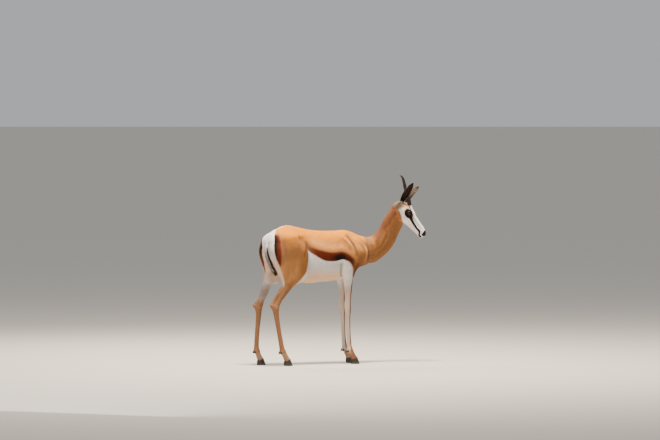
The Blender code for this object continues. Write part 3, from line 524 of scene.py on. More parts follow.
# ---------------------------------------------------------------- anatomy
@dataclass
class Anatomy:
    """The named muscles and bones, as the solids have them, with the finer forms of the head added."""

    def loft(self, turned: Side, rows: Rows, **settings: object) -> Loft:
        """A loft of rows given for the left, turned to the side asked for."""
        return Loft([(row[0], turned.value * row[1], *row[2:]) for row in rows], **settings)

    def trunk(self) -> list[Loft]:
        """Barrel, neck, breast and tail root.

        Returns:
            The lofts in the order they are joined.
        """
        barrel = mm((-478, 0, 688, 52, 62, 62), (-440, 0, 688, 76, 107, 100), (-400, 0, 682, 88, 128, 135),
                    (-330, 0, 662, 90, 137, 165), (-250, 0, 640, 101, 143, 168),
                    (-150, 0, 628, 109, 147, 150), (-60, 0, 622, 102, 153, 137), (30, 0, 628, 78, 138, 108),
                    (100, 0, 640, 58, 94, 66))
        neck = mm((85, 0, 650, 64, 96, 76), (150, 0, 662, 57, 80, 86), (205.8, -3, 684, 52, 67, 77),
                  (264.6, -10, 738, 45, 63, 70), (291.1, -22, 799, 40, 61, 69),
                  (314.4, -34, 846, 38, 57, 65), (331.6, -45, 886, 36, 48, 55))
        breast = mm((150, 0, 642, 45, 62), (80, 0, 632, 46, 42), (10, 0, 560, 48, 42))
        tail_root = mm((-455, 0, 757, 30, 28), (-488, 0, 743, 18, 18), (-505, 0, 716, 11, 10))
        groin = mm((-350, 0, 530, 46, 48), (-410, 0, 514, 44, 44), (-446, 0, 532, 34, 40))
        return [Loft(barrel, blend=0.03, taper=0.22, caps=(0.030, 0.045)),
                Loft(neck, blend=0.060, end_blend=0.030, caps=(0.05, 0.022)),
                Loft(breast, blend=0.045),
                Loft(groin, blend=0.030),
                Loft(tail_root, blend=0.030, end_blend=0.010)]

    def fore_foot(self, side: Side) -> tuple[Array, Array]:
        """Fetlock and coronet of a forefoot, y given for the left."""
        lead = FORE_LEAD if side is Side.LEFT else 0.0
        return np.array((-0.002 + lead, 0.062, FETLOCK)), np.array((0.026 + lead, 0.064, CORONET))

    def hind_foot(self, side: Side) -> tuple[Array, Array]:
        """Fetlock and coronet of a hind foot, y given for the left."""
        if side is Side.LEFT:
            return np.array((-0.538, 0.0755, FETLOCK)), np.array((-0.514, 0.077, CORONET))
        return np.array((-0.447, 0.0755, FETLOCK)), np.array((-0.419, 0.077, CORONET))

    def foreleg(self, side: Side) -> list[Loft]:
        """Shoulder, arm, forearm, knee and cannon of one foreleg.

        Args:
            side: The side of the body.

        Returns:
            The lofts in the order they are joined.
        """
        lead = FORE_LEAD if side is Side.LEFT else 0.0
        elbow, knee, fetlock = -0.017 + 0.7 * lead, -0.020 + lead, -0.004 + lead
        blade = [(-0.035, 0.034, 0.725, 0.020, 0.040), (0.020, 0.058, 0.668, 0.022, 0.052),
                 (0.056, 0.067, 0.638, 0.023, 0.038)]
        arm = [(0.056, 0.066, 0.634, 0.024, 0.034), (0.010 + 0.5 * lead, 0.073, 0.590, 0.026, 0.040),
               (elbow - 0.003, 0.073, 0.545, 0.024, 0.042)]
        triceps = [(-0.055, 0.060, 0.660, 0.018, 0.030), (-0.045 + 0.5 * lead, 0.075, 0.605, 0.022, 0.034),
                   (elbow - 0.023, 0.074, 0.560, 0.018, 0.022)]
        ahead = 0.2 * lead
        forearm = [(elbow - 0.004, 0.074, 0.545, 0.026, 0.036),
                   (elbow - 0.002 + 0.5 * ahead, 0.073, 0.490, 0.023, 0.029),
                   (knee + 0.003 + ahead, 0.071, 0.430, 0.0185, 0.0225),
                   (knee + 0.001 + 0.5 * ahead, 0.069, 0.370, 0.0150, 0.0185),
                   (knee, 0.068, 0.345, 0.0165, 0.0195), (knee + 0.002, 0.067, 0.318, 0.0165, 0.0190),
                   (knee + 0.003, 0.066, 0.292, 0.0120, 0.0145)]
        cannon = [(knee + 0.003, 0.066, 0.300, 0.0125, 0.0150), (knee + 0.006, 0.065, 0.250, 0.0105, 0.0130),
                  (fetlock - 0.006, 0.064, 0.160, 0.0100, 0.0130),
                  (fetlock - 0.002, 0.063, 0.110, 0.0125, 0.0145),
                  (fetlock, 0.063, FETLOCK + 0.002, 0.0150, 0.0170)]
        return [self.loft(side, blade, side=(0.0, 1.0, 0.15 * side.value), blend=0.050),
                self.loft(side, arm, blend=0.045),
                self.loft(side, triceps, blend=0.040),
                self.loft(side, forearm, blend=0.025, end_blend=0.008),
                self.loft(side, cannon, blend=0.008),
                *self.pastern(side, *self.fore_foot(side))]

    def hindleg(self, side: Side) -> list[Loft]:
        """Thigh, stifle, gaskin, hock and cannon of one hind leg; the left stands further back.

        Args:
            side: The side of the body.

        Returns:
            The lofts in the order they are joined.
        """
        if side is Side.LEFT:
            thigh = mm((-410, 722, 60), (-414, 660, 86), (-412, 600, 85), (-410, 548, 66), (-418, 505, 44))
            ham = mm((-482, 728, 34), (-482, 670, 40), (-464, 600, 38), (-456, 545, 30), (-458, 492, 24))
            stifle = mm((-376, 588), (-366, 538), (-386, 500))
            shin = mm((-416, 545), (-468, 468), (-491, 416), (-511, 370), (-521, 345))
            bone = mm((-525, 326), (-526, 285), (-531, 235), (-538, 150), (-540, 105))
        else:
            thigh = mm((-405, 722, 62), (-405, 660, 86), (-395, 600, 89), (-379, 548, 72), (-378, 505, 46))
            ham = mm((-466, 725, 34), (-472, 670, 40), (-452, 600, 38), (-431, 545, 30), (-421, 490, 23))
            stifle = mm((-345, 590), (-328, 545), (-345, 505))
            shin = mm((-356, 535), (-409, 468), (-454, 410), (-480, 370), (-491, 345))
            bone = mm((-494, 330), (-487, 285), (-478, 235), (-462, 150), (-453, 105))
        thigh_sides = mm((52, 32), (62, 38), (69, 38), (73, 34), (74, 26))
        ham_sides = mm((50, 26), (62, 34), (68, 34), (72, 26), (74, 19))
        stifle_sizes = mm((70, 26, 32), (77, 24, 26), (77, 20, 20))
        shin_sizes = mm((79, 34, 40), (78, 26, 27.5), (77, 20, 23.5), (76, 15.5, 20), (76, 15, 22))
        bone_sizes = mm((16.5, 20), (12.5, 16.5), (11, 14.5), (11, 14.5), (13, 15.5))
        thigh = [(x, y, z, half, up) for (x, z, up), (y, half) in zip(thigh, thigh_sides)]
        ham = [(x, y, z, half, up) for (x, z, up), (y, half) in zip(ham, ham_sides)]
        stifle = [(x, y, z, half, up) for (x, z), (y, half, up) in zip(stifle, stifle_sizes)]
        gaskin = [(x, y, z, half, up) for (x, z), (y, half, up) in zip(shin, shin_sizes)]
        cannon = [(x, 0.0755, z, *size) for (x, z), size in zip(bone, bone_sizes)]
        ankle, toe = self.hind_foot(side)
        cannon.append((ankle[0] - 0.002, 0.0755, FETLOCK, 0.0155, 0.0175))
        point = (bone[0][0] - 0.030, bone[0][1] + 0.023)
        cord_top = 0.070 if side is Side.LEFT else 0.094
        cord = [(point[0] + cord_top, 0.074, point[1] + 0.110, 0.012, 0.016),
                (point[0] + 0.024, 0.076, point[1] + 0.036, 0.0065, 0.0085),
                (point[0] + 0.004, 0.076, point[1] - 0.004, 0.0085, 0.0095)]
        heel = [(point[0] + 0.005, 0.076, point[1] - 0.004, 0.0100, 0.0100),
                (bone[0][0] - 0.003, 0.076, bone[0][1] + 0.003, 0.0155, 0.0190)]
        return [self.loft(side, thigh, side=(0.25, 1.0, 0.0), blend=0.060),
                self.loft(side, ham, blend=0.040),
                self.loft(side, stifle, blend=0.040),
                self.loft(side, gaskin, blend=0.030, end_blend=0.010),
                self.loft(side, cord, blend=0.016),
                self.loft(side, heel, blend=0.012),
                self.loft(side, cannon, blend=0.010),
                *self.pastern(side, ankle, toe)]

    def pastern(self, side: Side, ankle: Array, toe: Array) -> list[Loft]:
        """The two toes between fetlock and coronet, and the two small claws behind them.

        Args:
            side: The side of the body.
            ankle: The middle of the fetlock.
            toe: The middle of the two toes' coronets.

        Returns:
            The lofts in the order they are joined.
        """
        lofts = []
        for toe_side in (-1, 1):
            spread = TOE_SPREAD * toe_side
            heel_y, toe_y = side.value * ankle[1], side.value * toe[1]
            rows = [(ankle[0], heel_y + 0.6 * spread, ankle[2], 0.0100, 0.0155),
                    ((ankle[0] + toe[0]) / 2, toe_y + 0.85 * spread, (ankle[2] + toe[2]) / 2, 0.0092, 0.0130),
                    (toe[0], toe_y + spread, toe[2], 0.0098, 0.0150)]
            lofts.append(Loft(rows, blend=0.008))
            claw = [(ankle[0] - 0.010, heel_y + 0.9 * spread, ankle[2] - 0.003, 0.0066, 0.0066),
                    (ankle[0] - 0.015, heel_y + spread, ankle[2] - 0.008, 0.0052, 0.0052)]
            lofts.append(Loft(claw, blend=0.006))
        return lofts

    def head_loft(self, rows: Rows, sign: int = 1, **settings: float) -> Loft:
        """A loft whose rows are given in head coordinates, with the left turned by sign."""
        placed = [(*head_point(row[0], sign * row[1], row[2]), *row[3:]) for row in rows]
        return Loft(placed, side=HEAD_LEFT, **settings)

    def head(self) -> list[Loft]:
        """Skull, jaw, cheeks, brows, orbits, muzzle, lips and the roots of ears and horns.

        Returns:
            The lofts in the order they are joined.
        """
        face = mm((10, 0, -18, 33, 20, 32), (30, 0, -12, 38, 25, 36), (58, 0, -10, 39, 32, 36),
                  (94, 0, -10, 36.5, 34, 34), (120, 0, -12, 32.5, 34.5, 30), (150, 0, -11, 26.5, 31.5, 26),
                  (190, 0, -10, 21.5, 28, 22), (220, 0, -10, 20, 27, 20), (238, 0, -11, 18.5, 23.5, 18))
        jaw = mm((55, 0, -34, 24, 22, 26), (90, 0, -37, 24, 20, 25.5), (130, 0, -36, 20.5, 18, 21.5),
                 (170, 0, -31, 16.5, 16, 18), (210, 0, -27, 14, 13, 14.5), (236, 0, -24.5, 13.5, 11, 11.5))
        chin = mm((226, 0, -31, 12.5, 9), (241, 0, -28.5, 10.5, 8))
        temple = mm((30, 28, -4, 10, 16), (62, 30, 4, 10, 16))
        cheek = mm((50, 26, -32, 12, 22), (85, 26, -34, 12.5, 26), (118, 24, -30, 10, 20))
        orbit = mm((80, 32.5, 7, 12, 15), (96, 34.5, 5.5, 12.5, 16.5), (113, 31, 3.5, 11, 14.5))
        brow = mm((72, 26, 15, 9, 8), (92, 30, 16, 9, 6.5), (114, 25, 14.5, 7.5, 6))
        cheekbone = mm((40, 34, -6, 7, 10), (90, 38, -11, 7, 8), (140, 25, -12, 6, 9))
        nose_wing = mm((222, 13.5, -2, 8, 11), (240, 11.5, -4, 8, 10), (247, 8, -6, 7, 8))
        lip = mm((190, 15.5, -23, 6, 9.5), (222, 13, -21, 6.5, 9), (242, 8.5, -19, 7, 7))
        ear_root = mm((30, 26, -8, 14, 16), (14, 37, 3, 12, 12.5))
        horn_root = mm((77, 17.5, 12, 13, 13), (63, 18.5, 22.5, 11, 11))
        lofts = [self.head_loft(face, blend=0.022, caps=(0.016, 0.012), taper=0.06),
                 self.head_loft(jaw, blend=0.016, caps=(0.020, 0.010)),
                 self.head_loft(chin, blend=0.008)]
        paired = ((temple, 0.020), (cheek, 0.020), (orbit, 0.016), (brow, 0.014), (cheekbone, 0.016),
                  (nose_wing, 0.007), (lip, 0.008), (ear_root, 0.016), (horn_root, 0.014))
        return lofts + [self.head_loft(rows, sign, blend=blend) for sign in (-1, 1) for rows, blend in paired]

    def reliefs(self) -> list[Relief]:
        """Ridges and hollows of muscle and bone.

        Returns:
            The reliefs of the body and of the head, from rows in millimetres of half width, height and
            places given for the left side.
        """
        body = (
            (9.5, 5, (92, 68, 712), (98, 78, 684), (95, 87, 650), (92, 92, 625), (98, 80, 600)),
            (9, -5.6, (118, 58, 715), (122, 70, 684), (121, 77, 650), (120, 78, 625), (126, 64, 598)),
            (10, 3.8, (-40, 60, 738), (-16, 74, 712), (4, 90, 680), (16, 100, 648)),
            (8.5, -4.4, (-14, 60, 742), (8, 78, 708), (26, 92, 676), (36, 100, 644)),
            (8.5, 2.6, (52, 60, 735), (68, 72, 704), (76, 84, 668)),
            (15, -3, (-78, 80, 700), (-70, 90, 650), (-58, 96, 605)),
            (9, -6.5, (-70, 98, 590), (-68, 95, 545), (-60, 88, 508)),
            (16, 3, (-30, 98, 600), (-30, 96, 565), (-22, 92, 520)),
            (10, -2.6, (66, 80, 590), (46, 85, 560), (24, 88, 530)),
            (14, 4.6, (-292, 60, 745), (-308, 78, 700), (-314, 92, 650), (-318, 98, 590)),
            (22, -3.2, (-262, 70, 730), (-276, 85, 685), (-284, 92, 630)),
            (17, 6, (-298, 66, 762), (-312, 70, 752)),
            (10, -3.6, (-452, 60, 700), (-440, 85, 640), (-424, 92, 580), (-412, 92, 530)),
            (14, -2.4, (-400, 100, 690), (-380, 108, 620), (-376, 104, 545)),
            (20, 2.4, (-345, 100, 700), (-345, 104, 640), (-350, 104, 580)),
            (11, -3, (150, 50, 640), (205, 40, 675), (250, 30, 730), (272, 10, 790)),
            (14, 3.4, (-470, 30, 752), (-488, 36, 720), (-492, 44, 680)),
            (8.5, 1, (-110, 85, 690), (-124, 104, 640), (-128, 104, 580)),
            (8.5, 1.1, (-140, 85, 690), (-155, 108, 635), (-158, 106, 570)),
            (8.5, 1.1, (-170, 85, 690), (-186, 106, 630), (-190, 104, 565)),
            (8.5, 0.9, (-200, 85, 690), (-216, 104, 625), (-222, 100, 560)),
        )
        face = (
            (6, 0.9, (110, 35, -2), (130, 28, -6), (160, 22, -10)),
            (6, 1.2, (60, 38, -8), (90, 40, -14), (122, 32, -16)),
            (7, -2, (128, 30, -26), (124, 29, -40), (108, 27, -52)),
            (4.5, 1.4, (80, 35, 20), (100, 38, 19), (116, 33, 14)),
            (6, -0.9, (150, 18, -2), (185, 16, -2), (214, 16, -3)),
            (2.2, -1.4, (112, 40, -3), (122, 36, -6), (131, 31, -8.5)),
        )
        return [Relief(width / 1000.0, rise / 1000.0, mm(*places), on_head=on_head)
                for on_head, table in ((False, body), (True, face)) for width, rise, *places in table]

    def sinews(self, side: Side) -> list[Relief]:
        """Hollows between bone and sinew of the cannons, and before the hamstring over the hock.

        Args:
            side: The side of the body.

        Returns:
            The reliefs of that side's legs.
        """
        lead = FORE_LEAD if side is Side.LEFT else 0.0
        fore = ((-0.026, 0.285), (-0.020, 0.240), (-0.016, 0.170), (-0.012, 0.112))
        heights = (0.285, 0.235, 0.150, 0.112)
        hind, hollow = (-0.493, -0.484, -0.468, -0.461), -0.508
        if side is Side.LEFT:
            hind, hollow = (-0.532, -0.536, -0.543, -0.546), -0.540
        thong = ((0.062, 0.440), (0.026, 0.395), (0.006, 0.362))
        reliefs = [Relief(0.0042, -0.0020, [(x + lead, y, z) for x, z in fore], (side,))
                   for y in (0.052, 0.078)]
        for y in (0.062, 0.088):
            reliefs.append(Relief(0.0045, -0.0022, [(x, y, z) for x, z in zip(hind, heights)], (side,)))
            reliefs.append(Relief(0.0080, -0.0042, [(hollow + x, y, z) for x, z in thong], (side,)))
        return reliefs

    def face_lines(self, flesh: Flesh) -> list[Form]:
        """Lids, nostrils, mouth line and philtrum, laid on the plain head.

        Args:
            flesh: The flesh the lines are cut into.

        Returns:
            The forms in the order they are joined.
        """
        forms: list[Form] = []
        for sign in (-1, 1):
            centre = EYE_CENTRE * (1, sign, 1)
            angle = np.linspace(0.0, 2.0 * math.pi, 33)
            ahead = 0.0128 * np.cos(angle) + 0.0034 * np.maximum(np.cos(angle), 0.0) ** 5
            rise, out = lid_edge(angle, ahead, 0.0088)
            ring = POLL + (centre + np.stack((ahead, sign * (out - 0.0006), rise), axis=1)) @ HEAD_AXES
            forms.append(Cord(ring, tuple(0.0019 + 0.0009 * np.maximum(np.sin(angle), 0.0)), blend=0.004))
            slit = mm((256, 6.2, -6.5), (251, 9.8, -3.5), (244, 13.2, 0.2), (236, 18, 1.6))
            slit = np.array([head_point(along, sign * out, up) for along, out, up in slit])
            forms.append(Cord(slit, (0.0010, 0.0026, 0.0026, 0.0012), blend=0.0016, cut=True))
        across = np.linspace(-1.0, 1.0, 25)
        back = np.abs(across) ** 1.5
        line = np.stack((0.2600 - 0.0620 * back, 0.0330 * np.sin(across * math.pi / 2.0),
                         -0.0215 - 0.0060 * back), axis=1)
        line = flesh.settle(POLL + line @ HEAD_AXES, rounds=14)
        forms.append(Cord(line, (0.0006, 0.0013, 0.0014, 0.0013, 0.0006), blend=0.0016, cut=True))
        philtrum = np.array([head_point(0.262, 0.0, -0.006), head_point(0.260, 0.0, -0.021)])
        forms.append(Cord(flesh.settle(philtrum, rounds=10), (0.0010, 0.0012), blend=0.0016, cut=True))
        return forms

    def tail(self) -> Loft:
        """The dock of the tail, under its hair."""
        rows = [(*place, 0.62 * size, 0.62 * size) for place, size in zip(TAIL_PATH, TAIL_SIZES)]
        return Loft(rows, blend=0.010, end_blend=0.002)

    def flesh(self) -> Flesh:
        """Every form, in the order in which they are joined.

        Returns:
            The whole field.
        """
        forms = self.trunk()
        reliefs = self.reliefs()
        for side in (Side.RIGHT, Side.LEFT):
            forms += self.foreleg(side) + self.hindleg(side)
            reliefs += self.sinews(side)
        plain = Flesh(forms + self.head())
        laid = [relief.lay(plain, side) for relief in reliefs for side in relief.sides]
        whole = Flesh(plain.forms + laid + [self.tail()])
        return Flesh(whole.forms + self.face_lines(whole))


# ---------------------------------------------------------------- meshes and materials
Finish = tuple[bpy.types.Material, bpy.types.NodeTree, bpy.types.Node]


def linear(code: str) -> tuple[float, float, float, float]:
    """A colour given as an sRGB hex code, in linear values."""
    values = (int(code[i:i + 2], 16) / 255.0 for i in (1, 3, 5))
    return (*(v / 12.92 if v <= 0.04045 else ((v + 0.055) / 1.055) ** 2.4 for v in values), 1.0)


def add_node(tree: bpy.types.NodeTree, kind: str, links: dict | None = None,
             **settings: object) -> bpy.types.Node:
    """Add a shader node.

    Args:
        tree: The material's node tree.
        kind: The node's type name without its ShaderNode prefix.
        links: Input name or number to an output socket that feeds it, or to a value.
        **settings: Attributes of the node.

    Returns:
        The new node.
    """
    node = tree.nodes.new("ShaderNode" + kind)
    for name, value in settings.items():
        setattr(node, name, value)
    for name, value in (links or {}).items():
        if isinstance(value, bpy.types.NodeSocket):
            tree.links.new(value, node.inputs[name])
        else:
            node.inputs[name].default_value = value
    return node


def new_material(name: str, **constants: object) -> Finish:
    """A material with its shader's own sockets set to constants.

    Args:
        name: The material's name.
        **constants: Socket names, with underscores for spaces, and their values.

    Returns:
        The material, its node tree and its shader node.
    """
    material = bpy.data.materials.new(name)
    material.use_nodes = True
    shader = material.node_tree.nodes["Principled BSDF"]
    for key, value in constants.items():
        shader.inputs[key.replace("_", " ")].default_value = value
    return material, material.node_tree, shader


def mesh_object(name: str, points: Array, faces: Array, attributes: dict[str, Array] | None = None,
                uv: Array | None = None) -> bpy.types.Object:
    """A smooth mesh object at the origin, its points shifted from body to frame coordinates.

    Args:
        name: The object's name.
        points: Vertices in body coordinates.
        faces: Triangles or quads.
        attributes: Float values for each vertex.
        uv: A UV place for each corner of each face, for the OFBake map.

    Returns:
        The object, linked to the scene.
    """
    mesh = bpy.data.meshes.new(name)
    corners = faces.shape[1]
    mesh.vertices.add(len(points))
    mesh.vertices.foreach_set("co", (points + SHIFT).astype(np.float32).ravel())
    mesh.loops.add(faces.size)
    mesh.loops.foreach_set("vertex_index", faces.astype(np.int32).ravel())
    mesh.polygons.add(len(faces))
    mesh.polygons.foreach_set("loop_start", np.arange(0, faces.size, corners, dtype=np.int32))
    mesh.polygons.foreach_set("use_smooth", np.ones(len(faces), bool))
    mesh.update(calc_edges=True)
    set_attributes(mesh, attributes or {})
    if uv is not None:
        mesh.uv_layers.new(name="OFBake").data.foreach_set("uv", uv.astype(np.float32).ravel())
    thing = bpy.data.objects.new(name, mesh)
    bpy.context.scene.collection.objects.link(thing)
    return thing


def read_vectors(items: bpy.types.bpy_prop_collection, name: str) -> Array:
    """A vector property of every item.

    Args:
        items: Vertices or the like.
        name: The property's name.

    Returns:
        The vectors, one a row.
    """
    values = np.empty(3 * len(items), np.float32)
    items.foreach_get(name, values)
    return values.reshape(-1, 3).astype(float)


def set_attributes(mesh: bpy.types.Mesh, attributes: dict[str, Array]) -> None:
    """Store float values for each vertex under their names."""
    for key, values in attributes.items():
        mesh.attributes.new(key, "FLOAT", "POINT").data.foreach_set("value", values.astype(np.float32))


def signed_volume(points: Array, tris: Array) -> float:
    """Volume inside closed triangles, negative where they face inward."""
    a, b, c = (points[tris[:, i]] for i in range(3))
    return float((a * np.cross(b, c)).sum() / 6.0)


def face_outward(points: Array, faces: Array) -> Array:
    """The faces of a closed shape, all turned round if they face inward.

    Args:
        points: Its vertices.
        faces: Its triangles or quads.

    Returns:
        The faces, facing outward.
    """
    centred = points - points.mean(axis=0)
    volume = signed_volume(centred, faces[:, :3])
    if faces.shape[1] == 4:
        volume += signed_volume(centred, faces[:, [0, 2, 3]])
    return faces if volume > 0.0 else faces[:, ::-1]


def grid_faces(rows: int, columns: int, closed: bool = True) -> Array:
    """Quads between rows of points.

    Args:
        rows: How many rows.
        columns: Points in each.
        closed: Whether each row is a ring.

    Returns:
        The quads.
    """
    row, column = np.meshgrid(np.arange(rows - 1), np.arange(columns if closed else columns - 1),
                              indexing="ij")
    a = row * columns + column
    b = row * columns + (column + 1) % columns
    return np.stack((a, b, b + columns, a + columns), axis=-1).reshape(-1, 4)


def capped_rings(rings: int, sides: int) -> Array:
    """Triangles over rings of points, closed at both ends by two points that come after the rings.

    Args:
        rings: How many rings.
        sides: Points in each.

    Returns:
        The triangles.
    """
    quads = grid_faces(rings, sides)
    first = np.arange(sides)
    last = (rings - 1) * sides + first
    start = np.stack((np.roll(first, -1), first, np.full(sides, rings * sides)), axis=1)
    end = np.stack((last, np.roll(last, -1), np.full(sides, rings * sides + 1)), axis=1)
    return np.concatenate((quads[:, [0, 1, 2]], quads[:, [0, 2, 3]], start, end))


def round_the_ring(sides: int) -> Array:
    """Even angles round a ring."""
    return np.arange(sides) * 2.0 * math.pi / sides


def round_ball(rings: int, sides: int) -> Array:
    """Points of a ball of radius 1 for capped_rings, its poles along Z.

    Args:
        rings: How many rings lie between the poles.
        sides: How many points each ring has.

    Returns:
        The points, rings first and the two poles last.
    """
    turn = np.linspace(0.0, math.pi, rings + 2)[1:-1, None]
    angle = round_the_ring(sides)[None]
    ball = np.stack((np.sin(turn) * np.cos(angle), np.sin(turn) * np.sin(angle), np.cos(turn) + 0.0 * angle),
                    axis=-1)
    return np.concatenate((ball.reshape(-1, 3), ((0, 0, 1), (0, 0, -1))))


def swept_tube(path: Array, radius: Array, sides: int, flat: Array) -> tuple[Array, Array]:
    """A closed tube: path + radius * (cos a * wide + sin a * deep), with a point at each end.

    Args:
        path: Centres, one a row.
        radius: Radius at each centre.
        sides: Points round it.
        flat: Rough direction of wide.

    Returns:
        Points and triangles, facing outward.
    """
    heading = unit(np.gradient(path, axis=0))
    wide = unit(flat - heading * (heading @ flat)[:, None])
    deep = np.cross(heading, wide)
    angle = round_the_ring(sides)[None, :, None]
    ring = np.cos(angle) * wide[:, None] + np.sin(angle) * deep[:, None]
    points = np.concatenate(((path[:, None] + radius[:, None, None] * ring).reshape(-1, 3), path[[0, -1]]))
    return points, face_outward(points, capped_rings(len(path), sides))


def register(thing: bpy.types.Object, material: bpy.types.Material, slot: str,
             *nodes: str) -> bpy.types.Object:
    """Dress a piece, ride it on the body and report it.

    Args:
        thing: The piece.
        material: Its material.
        slot: Not used.
        *nodes: The solids that it stands for.

    Returns:
        The piece.
    """
    thing.data.materials.append(material)
    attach(thing, "root")
    if nodes:
        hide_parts(*nodes)
    log.info("%s: %d triangles", thing.name, len(thing.data.loops) - 2 * len(thing.data.polygons))
    return thing


# ---------------------------------------------------------------- markings of the coat
@dataclass(frozen=True)
class CoatColours:
    """Hair colours of a springbok, as sRGB hex codes."""

    fawn: str = "#bd8248"
    fawn_deep: str = "#ae7439"
    tawny: str = "#e48f0a"
    pale: str = "#f2aa60"
    brown: str = "#8f6042"
    rust: str = "#65240a"
    black: str = "#180704"
    white: str = "#f3efea"
    grey: str = "#746455"


SHARES = ("tawny", "white", "pale", "brown", "grey", "rust", "black")
BROKEN_BY_HAIR = ("white", "rust", "black")


def head_cut(points: Array) -> Array:
    """Height over the slanted plane through the throat that parts head from neck."""
    return (points - head_point(0.105, 0.0, -0.068)) @ (0.290 * FACE_AXIS + 0.957 * FACE_UP)


@dataclass(frozen=True)
class Markings:
    """Where each colour of the coat lies, from the place on the body."""

    edge: float = 0.010

    def soft(self, distance: Array, edge: float | None = None) -> Array:
        """0 to 1 across the soft edge of a marking, from the distance into it."""
        return np.clip(0.5 + distance / (edge or self.edge), 0.0, 1.0)

    def near(self, places: Array, path: Rows, half: float, edge: float) -> Array:
        """0 to 1 across the soft edge of a stroke of the given half width along a path in millimetres."""
        return self.soft(half - line_distance(places, np.array(mm(*path)))[0], edge)

    def flank_line(self, x: Array) -> tuple[Array, Array]:
        """The dark band along the flank.

        Args:
            x: Places along the body.

        Returns:
            The band's height and half width there.
        """
        stations = np.array((-0.330, -0.295, -0.250, -0.190, -0.120, -0.060, -0.020, 0.012, 0.035))
        middle = np.array((0.705, 0.684, 0.660, 0.634, 0.625, 0.630, 0.614, 0.584, 0.556))
        half = np.array((0.006, 0.015, 0.020, 0.026, 0.023, 0.020, 0.021, 0.022, 0.020))
        return through(stations, middle, np.clip(x, -0.330, 0.035)), np.interp(x, stations, half)

    def past_rump(self, points: Array) -> Array:
        """Distance over the skin, forward and outward, from the edge of the white of the rump.

        Args:
            points: Places in body coordinates.

        Returns:
            The distances, negative in the white.
        """
        x, y, z = points.T
        heights = (0.34, 0.37, 0.41, 0.47, 0.50, 0.522, 0.587, 0.622, 0.657, 0.697, 0.726, 0.762, 0.788,
                   0.810)
        edges = (-0.416, -0.407, -0.381, -0.350, -0.357, -0.3629, -0.3879, -0.4051, -0.4165, -0.4265, -0.4279,
                 -0.4405, -0.444, -0.420)
        left = np.interp(z, (0.525, 0.56, 0.60, 0.65, 0.689, 0.711, 0.740, 0.780),
                         (0.060, 0.053, 0.0565, 0.0605, 0.059, 0.049, 0.031, 0.008))
        edge = np.interp(z, heights, edges) - np.where(y > 0.0, left, 0.0)
        return (x + np.abs(y) - edge) / 1.35

    def leg_front(self, y: Array, z: Array) -> Array:
        """Where along the body the white of a foreleg gives way to the brown line down its front.

        Args:
            y: Places across the body.
            z: Their heights.

        Returns:
            The line's place along the body.
        """
        heights = (0.10, 0.25, 0.31, 0.37, 0.416, 0.456, 0.503, 0.544, 0.573, 0.602, 0.613)
        places = (-0.004, -0.009, -0.012, -0.012, -0.009, -0.0070, 0.0030, 0.0032, -0.0062, -0.0244, -0.0346)
        lead = np.where(y > 0.0, FORE_LEAD, 0.0) * np.interp(z, (0.46, 0.60), (1.0, 0.2))
        return np.interp(z, heights, places) + lead

    def body(self, points: Array) -> dict[str, Array]:
        """Shares of each colour on trunk and legs, painted shade and painted highlights among them.

        Args:
            points: Places in body coordinates.

        Returns:
            For each name in SHARES, a share.
        """
        x, y, z = points.T
        wide = np.abs(y)
        on_left = y > 0.0
        side_view = np.stack((x, z), axis=1)
        middle, half = self.flank_line(x)
        across = z - middle
        # white belly, inner thighs, rump and the line along its crest
        thigh_front = np.interp(z, (0.36, 0.406, 0.491, 0.5465, 0.648, 0.70),
                                (-0.468, -0.419, -0.357, -0.305, -0.287, -0.30))
        before_thigh = self.soft(x - thigh_front + 0.35 * np.maximum(0.075 - wide, 0.0))
        below_band = self.soft(middle - 0.7 * half - z)
        front = self.leg_front(y, z)
        behind_line = self.soft(front - x, 0.006)
        between_legs = self.soft(0.040 - wide) * self.soft(0.02 - x, 0.04)
        belly = below_band * before_thigh * np.maximum(behind_line, between_legs)
        belly = belly * (1.0 - fall(x, -0.28, -0.23) * fall(z, 0.430, 0.470))
        inner_hind = self.soft(np.where(on_left, 0.086, 0.060) - wide, 0.010) * fall(x, -0.33, -0.27)
        inner_hind = inner_hind * self.soft(0.60 - z, 0.06) * ramp(z, 0.340, 0.410)
        past = self.past_rump(points)
        rump = self.soft(-past, 0.006) * ramp(z, 0.440, 0.490)
        crest = self.soft(0.0030 + 0.006 * fall(x, -0.42, -0.37) - wide, 0.005)
        crest = crest * fall(x, -0.34, -0.27) * ramp(z, 0.75, 0.77)
        in_pastern = fall(z, 0.070, 0.088)
        # painted shade on the forelegs under the body: greyer and a little less white
        foreleg_shade = fall(z, 0.42, 0.50) * ramp(x, -0.12, -0.06)
        white = most(belly, inner_hind, rump, 0.6 * crest, 0.54 * in_pastern) * (1.0 - 0.08 * foreleg_shade)
        # dark band: crisp against the belly, melting into the ribs above, black behind the shoulder
        reach = between(x, -0.318, -0.262, -0.005, 0.040) * ramp(wide, 0.045, 0.065)
        low_edge = self.soft(half + across, 0.007)
        band = low_edge * (1.0 - ramp(across, 0.50 * half, half + 0.016)) * reach
        black = band * between(x, -0.190, -0.075, -0.072, 0.006) * (1.0 - ramp(across, 0.0, 1.3 * half))
        halo = reach * low_edge * (1.0 - ramp(across, half, half + 0.038))
        red = band * (0.55 + 0.45 * ramp(x, -0.290, -0.170) - 0.40 * ramp(x, -0.040, 0.010))
